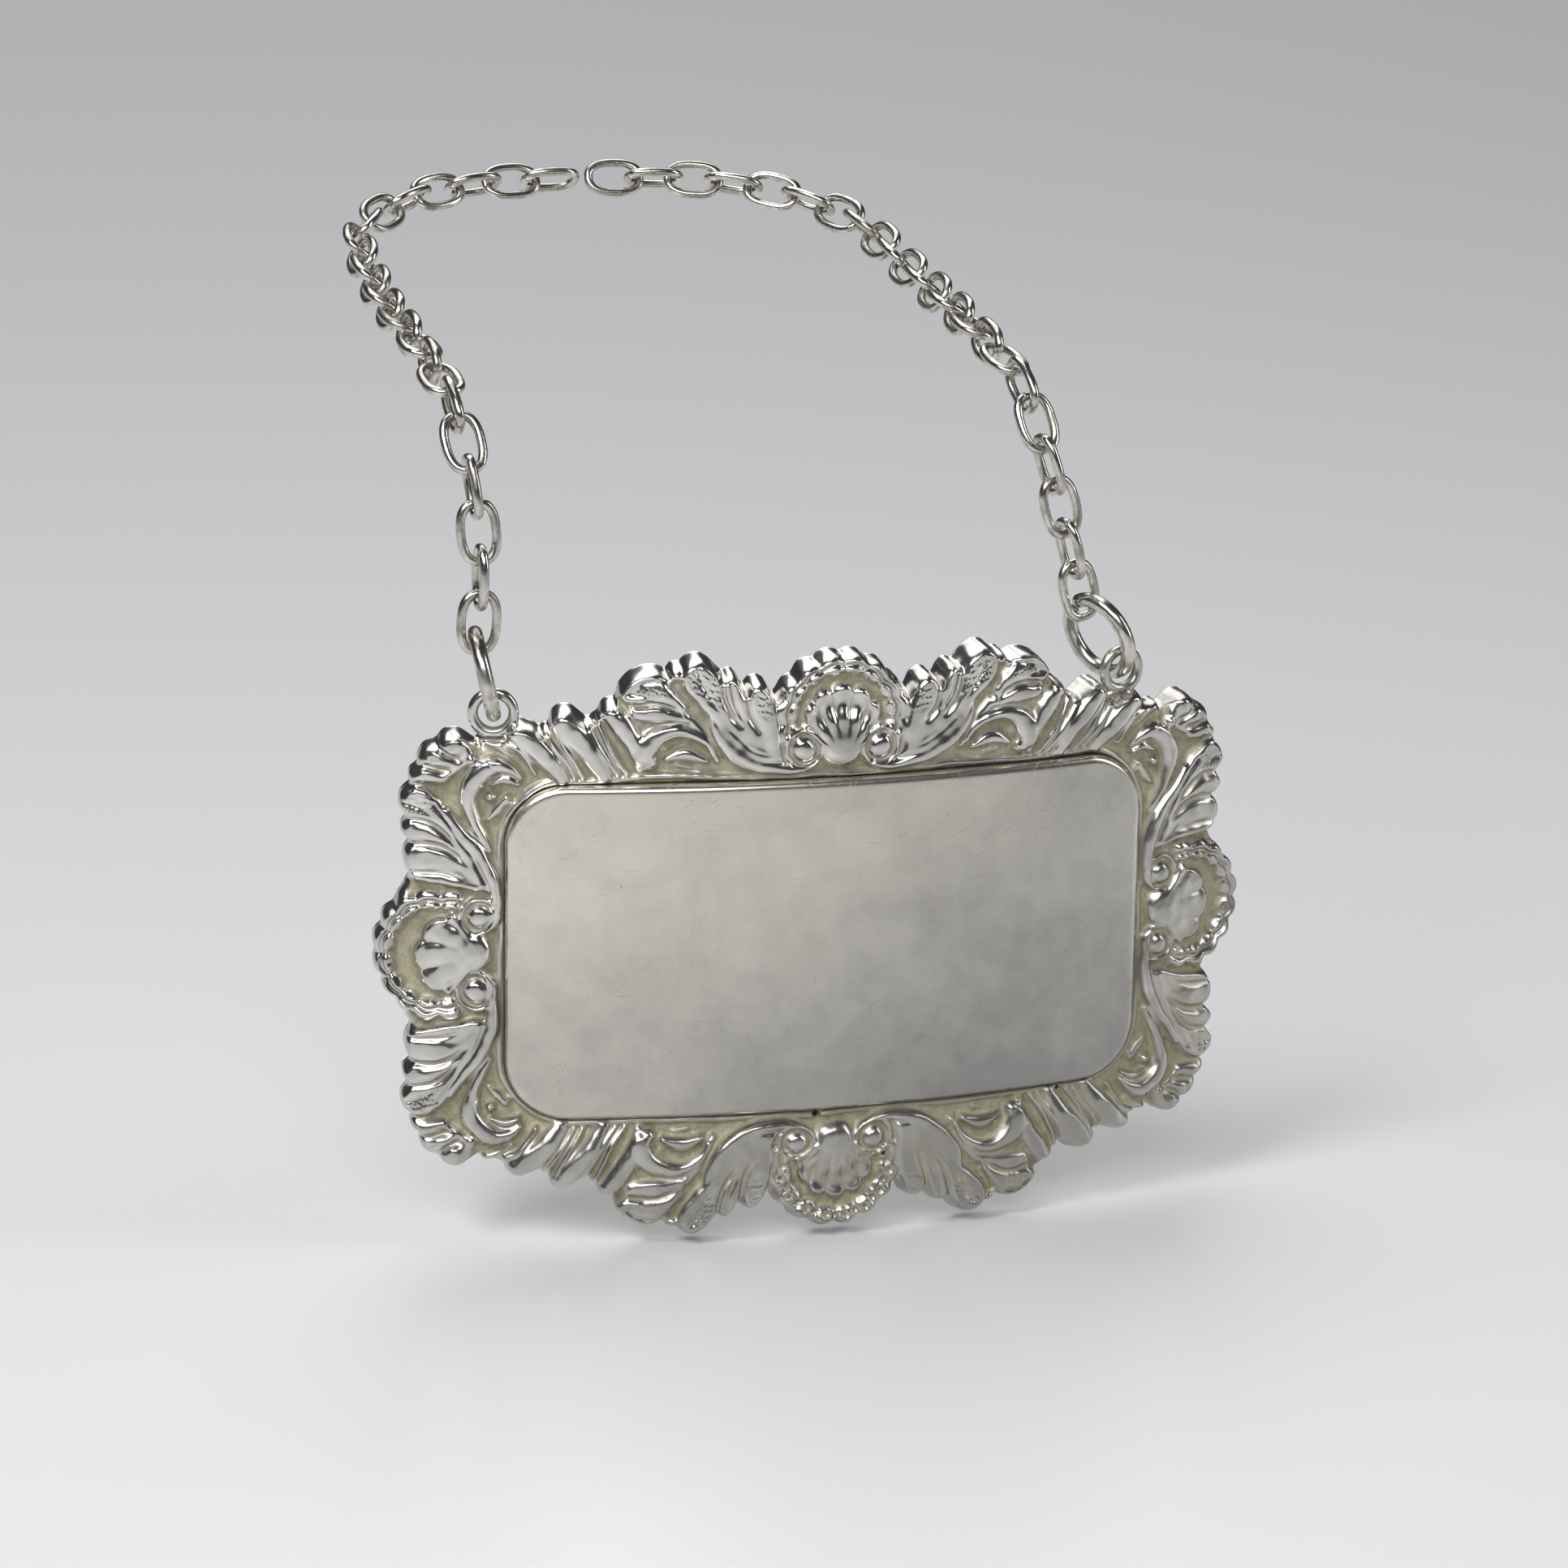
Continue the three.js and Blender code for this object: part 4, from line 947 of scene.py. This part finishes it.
# Eyelets, jump rings and links, in mm
wireSettings = {
    "linkLength": 4.3,
    "linkWidth": 2.9,
    "linkWire": 0.64,
    "linkSquare": 0.78,  # 1 is an ellipse, less is squarer
    "linkSteps": 96,
    "linkSides": 16,
    "ringMiddle": 2.61,  # from a jump ring's centre to its wire's
    "ringWire": 1.02,
    "ringSteps": 120,
    "ringSides": 24,
    "eyeletMiddle": 1.29,
    "eyeletWire": 0.72,
    "eyeletSwell": 0.12,  # thicker wire towards the foot
    "footWidth": 2.4,
    "footHeight": 1.5,
    "footDepth": 0.86,
    "footDrop": 1.75,  # below the middle of the eyelet
    "thinning": 0.95,  # of the radius, so that round wires clear as faceted ones do
}


def wireRadius(kind, s=wireSettings):
    return 0.5 * mm * s[kind + "Wire"] * s["thinning"]


# Angles once round
def fullTurn(count):
    return np.arange(count) / count * 2 * math.pi


def nodePoints(name):
    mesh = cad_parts[name].data
    flat = np.zeros(len(mesh.vertices) * 3)
    mesh.vertices.foreach_get("co", flat)
    return flat.reshape(-1, 3)


# A node's middle and its own axes, longest first
def nodeAxes(points):
    middle = points.mean(0)
    _, _, axes = np.linalg.svd(points - middle)
    return middle, axes


# A tube round a plane line: p = line + r (cos t outward + sin t upright)
def tube(line, outward, upright, radius, sides, closed=True):
    turn = fullTurn(sides)
    radius = np.broadcast_to(np.asarray(radius, float), (len(line),))
    spread = np.cos(turn)[None, :, None] * outward[:, None] + np.sin(turn)[None, :, None] * upright
    points = line[:, None] + spread * radius[:, None, None]
    return points.reshape(-1, 3), gridFaces(len(line), sides, closeRows=closed, closeColumns=True)


# A link's line, squarer than an ellipse: x = long sign(cos t) |cos t|^square, and y with sin t
def makeLink(name, material, s=wireSettings):
    middle, axes = nodeAxes(nodePoints(name))
    if np.dot(np.cross(axes[0], axes[1]), axes[2]) < 0:
        axes[2] = -axes[2]
    angle = fullTurn(s["linkSteps"])
    oval = np.stack([np.cos(angle), np.sin(angle)], -1)
    halves = (np.array([s["linkLength"], s["linkWidth"]]) - s["linkWire"]) / 2
    oval = halves * np.sign(oval) * np.abs(oval) ** s["linkSquare"]
    ahead = np.roll(oval, -1, 0) - np.roll(oval, 1, 0)
    ahead /= np.linalg.norm(ahead, axis=1, keepdims=True)
    line = middle + mm * (oval[:, :1] * axes[0] + oval[:, 1:] * axes[1])
    outward = ahead[:, 1:] * axes[0] - ahead[:, :1] * axes[1]
    points, faces = tube(line, outward, axes[2], wireRadius("link"), s["linkSides"])
    dress(makeObject("smooth_" + name, points, faces), name, "wire_silver", material, name)


# The circle that a cut ring's points stand round: middle, axes and cut. Least squares of
# |p|^2 = 2 c.p + k give the middle c.
def ringCircle(points):
    _, axes = nodeAxes(points)
    flat = np.stack([points @ axes[0], points @ axes[1]], -1)
    system = np.concatenate([2 * flat, np.ones((len(flat), 1))], 1)
    centre = np.linalg.lstsq(system, (flat ** 2).sum(1), rcond=None)[0]
    level = points @ axes[2]
    middle = centre[0] * axes[0] + centre[1] * axes[1] + (level.min() + level.max()) / 2 * axes[2]
    angles = np.sort(np.arctan2(flat[:, 1] - centre[1], flat[:, 0] - centre[0]))
    gaps = np.diff(np.concatenate([angles, [angles[0] + 2 * math.pi]]))
    widest = int(np.argmax(gaps))
    return middle, axes[0], axes[1], angles[widest], gaps[widest]


# A jump ring: a tube round from one side of its cut to the other, with rounded ends
def makeRing(name, material, s=wireSettings):
    middle, first, second, cutStart, cutWidth = ringCircle(nodePoints(name))
    steps, sides = s["ringSteps"], s["ringSides"]
    angle = cutStart + cutWidth + np.linspace(0, 2 * math.pi - cutWidth, steps)
    outward = np.cos(angle)[:, None] * first + np.sin(angle)[:, None] * second
    line = middle + mm * s["ringMiddle"] * outward
    scale = np.ones(steps)
    scale[[0, -1]] = 0.72
    scale[[1, -2]] = 0.95
    upright = np.cross(first, second)
    points, faces = tube(line, outward, upright, wireRadius("ring") * scale, sides, closed=False)
    total = len(points)
    faces = [*faces, *fanFaces(0, sides, total), *fanFaces(total - sides, sides, total + 1, flip=True)]
    made = makeObject("smooth_" + name, np.concatenate([points, line[:1], line[-1:]]), faces)
    dress(made, name, "wire_silver", material, name)


# An eyelet: a ring of wire on a foot that flares into the border. The top of its box is the
# ring's top, and the bend says which way it faces.
def makeEyelet(name, material, s=wireSettings):
    points = nodePoints(name)
    middle = (points.min(0) + points.max(0)) / 2
    middle[2] = points[:, 2].max() - mm * (s["eyeletMiddle"] + s["eyeletWire"] / 2)
    shift = np.array(labelSettings["shift"]) * mm
    turn = math.atan2(middle[0] - shift[0], mm * labelSettings["bend"] - (middle[1] - shift[1]))
    across = np.array([math.cos(turn), math.sin(turn), 0.0])
    up = np.array([0.0, 0.0, 1.0])
    ahead = np.cross(across, up)
    angle = fullTurn(96)
    outward = np.cos(angle)[:, None] * across + np.sin(angle)[:, None] * up
    line = middle + mm * s["eyeletMiddle"] * outward
    wire = wireRadius("eyelet") * (1 + s["eyeletSwell"] * np.clip(-np.sin(angle), 0, 1))
    ring, faces = tube(line, outward, ahead, wire, 20)
    # the foot: a flat spindle, p = (width cos t, depth sin t) sqrt(1 - (2 share - 1)^2) / 2
    rows, sides = 20, 32
    share = np.linspace(0, 1, rows)[:, None]
    around = fullTurn(sides)
    swell = 0.5 * mm * np.sqrt(np.clip(1 - (2 * share - 1) ** 2, 0, 1))
    wide = s["footWidth"] * swell * np.cos(around)
    thick = s["footDepth"] * swell * np.sin(around)
    height = mm * (s["footHeight"] * (0.5 - share) - s["footDrop"]) + 0 * around
    foot = middle + wide[..., None] * across + thick[..., None] * ahead + height[..., None] * up
    start = len(ring)
    poles = start + (rows - 2) * sides
    footFaces = [*(gridFaces(rows - 2, sides, closeColumns=True, flip=True) + start),
                 *fanFaces(start, sides, poles, flip=True), *fanFaces(poles - sides, sides, poles + 1)]
    everything = np.concatenate([ring, foot[1:-1].reshape(-1, 3), foot[[0, -1], 0]])
    marks = {"relief": np.full(len(everything), 1.7), "hollow": np.zeros(len(everything))}
    made = makeObject("smooth_" + name, everything, [*faces, *footFaces], marks)
    dress(made, "label", "cast_silver", material, name)


floorSettings = {
    "reach": 6,  # metres
    "level": -0.0582,
    "colour": (0.72, 0.72, 0.73, 1),
    "roughness": 0.32,
    "world": (0.05, 0.05, 0.055, 1),
}

lamps = {
    "key": {"place": (-0.36, -0.24, 0.44), "aim": (0, -0.02, -0.03), "size": (0.22, 0.22), "power": 2.2},
    "front": {"place": (-0.28, -0.72, 0.55), "aim": (-0.08, -0.12, -0.05), "size": (0.8, 0.35), "power": 4.2},
    "right": {"place": (0.50, -0.20, 0.20), "aim": (0, -0.02, -0.03), "size": (0.12, 0.4), "power": 0.7},
    "back": {"place": (0.15, 0.9, 1.0), "aim": (0.25, 0.8, -0.06), "size": (1.8, 1.0), "power": 12.0},
}


def makeStage(s=floorSettings):
    corners = [(-1, -1), (1, -1), (1, 1), (-1, 1)]
    mesh = bpy.data.meshes.new("floor")
    mesh.from_pydata([(x * s["reach"], y * s["reach"], s["level"]) for x, y in corners], [], [(0, 1, 2, 3)])
    floor = addToScene("floor", mesh)
    paint = Material("floor", Base_Color=s["colour"], Metallic=0.0, Roughness=s["roughness"])
    mesh.materials.append(paint.material)
    world = bpy.data.worlds.new("world")
    bpy.context.scene.world = world
    world.use_nodes = True
    background = world.node_tree.nodes["Background"]
    background.inputs["Color"].default_value = s["world"]
    background.inputs["Strength"].default_value = 1.0


def makeLights():
    for name, spec in lamps.items():
        data = bpy.data.lights.new(name, "AREA")
        data.shape = "RECTANGLE"
        data.size, data.size_y = spec["size"]
        data.energy = spec["power"]
        lamp = addToScene(name, data)
        lamp.location = spec["place"]
        way = [a - p for a, p in zip(spec["aim"], spec["place"])]
        lamp.rotation_euler = Vector(way).to_track_quat("-Z", "Y").to_euler()


makeStage()
makeLights()
print("stage ready")
relief = buildRelief()
print("relief worked out")
silverCast, silverPlate, silverWire = castSilver(), plateSilver(), wireSilver()
points, raised, hollow = makeBorder(relief)
borderPieces(points, raised, hollow, silverCast)
print("border built")
makePanel(silverPlate)
print("panel built")
for side in ("left", "right"):
    makeEyelet("eyelet_" + side, silverCast)
    makeRing("ring_" + side, silverWire)
for name in sorted(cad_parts):
    if name.startswith("link_"):
        makeLink(name, silverWire)
print("chain built")
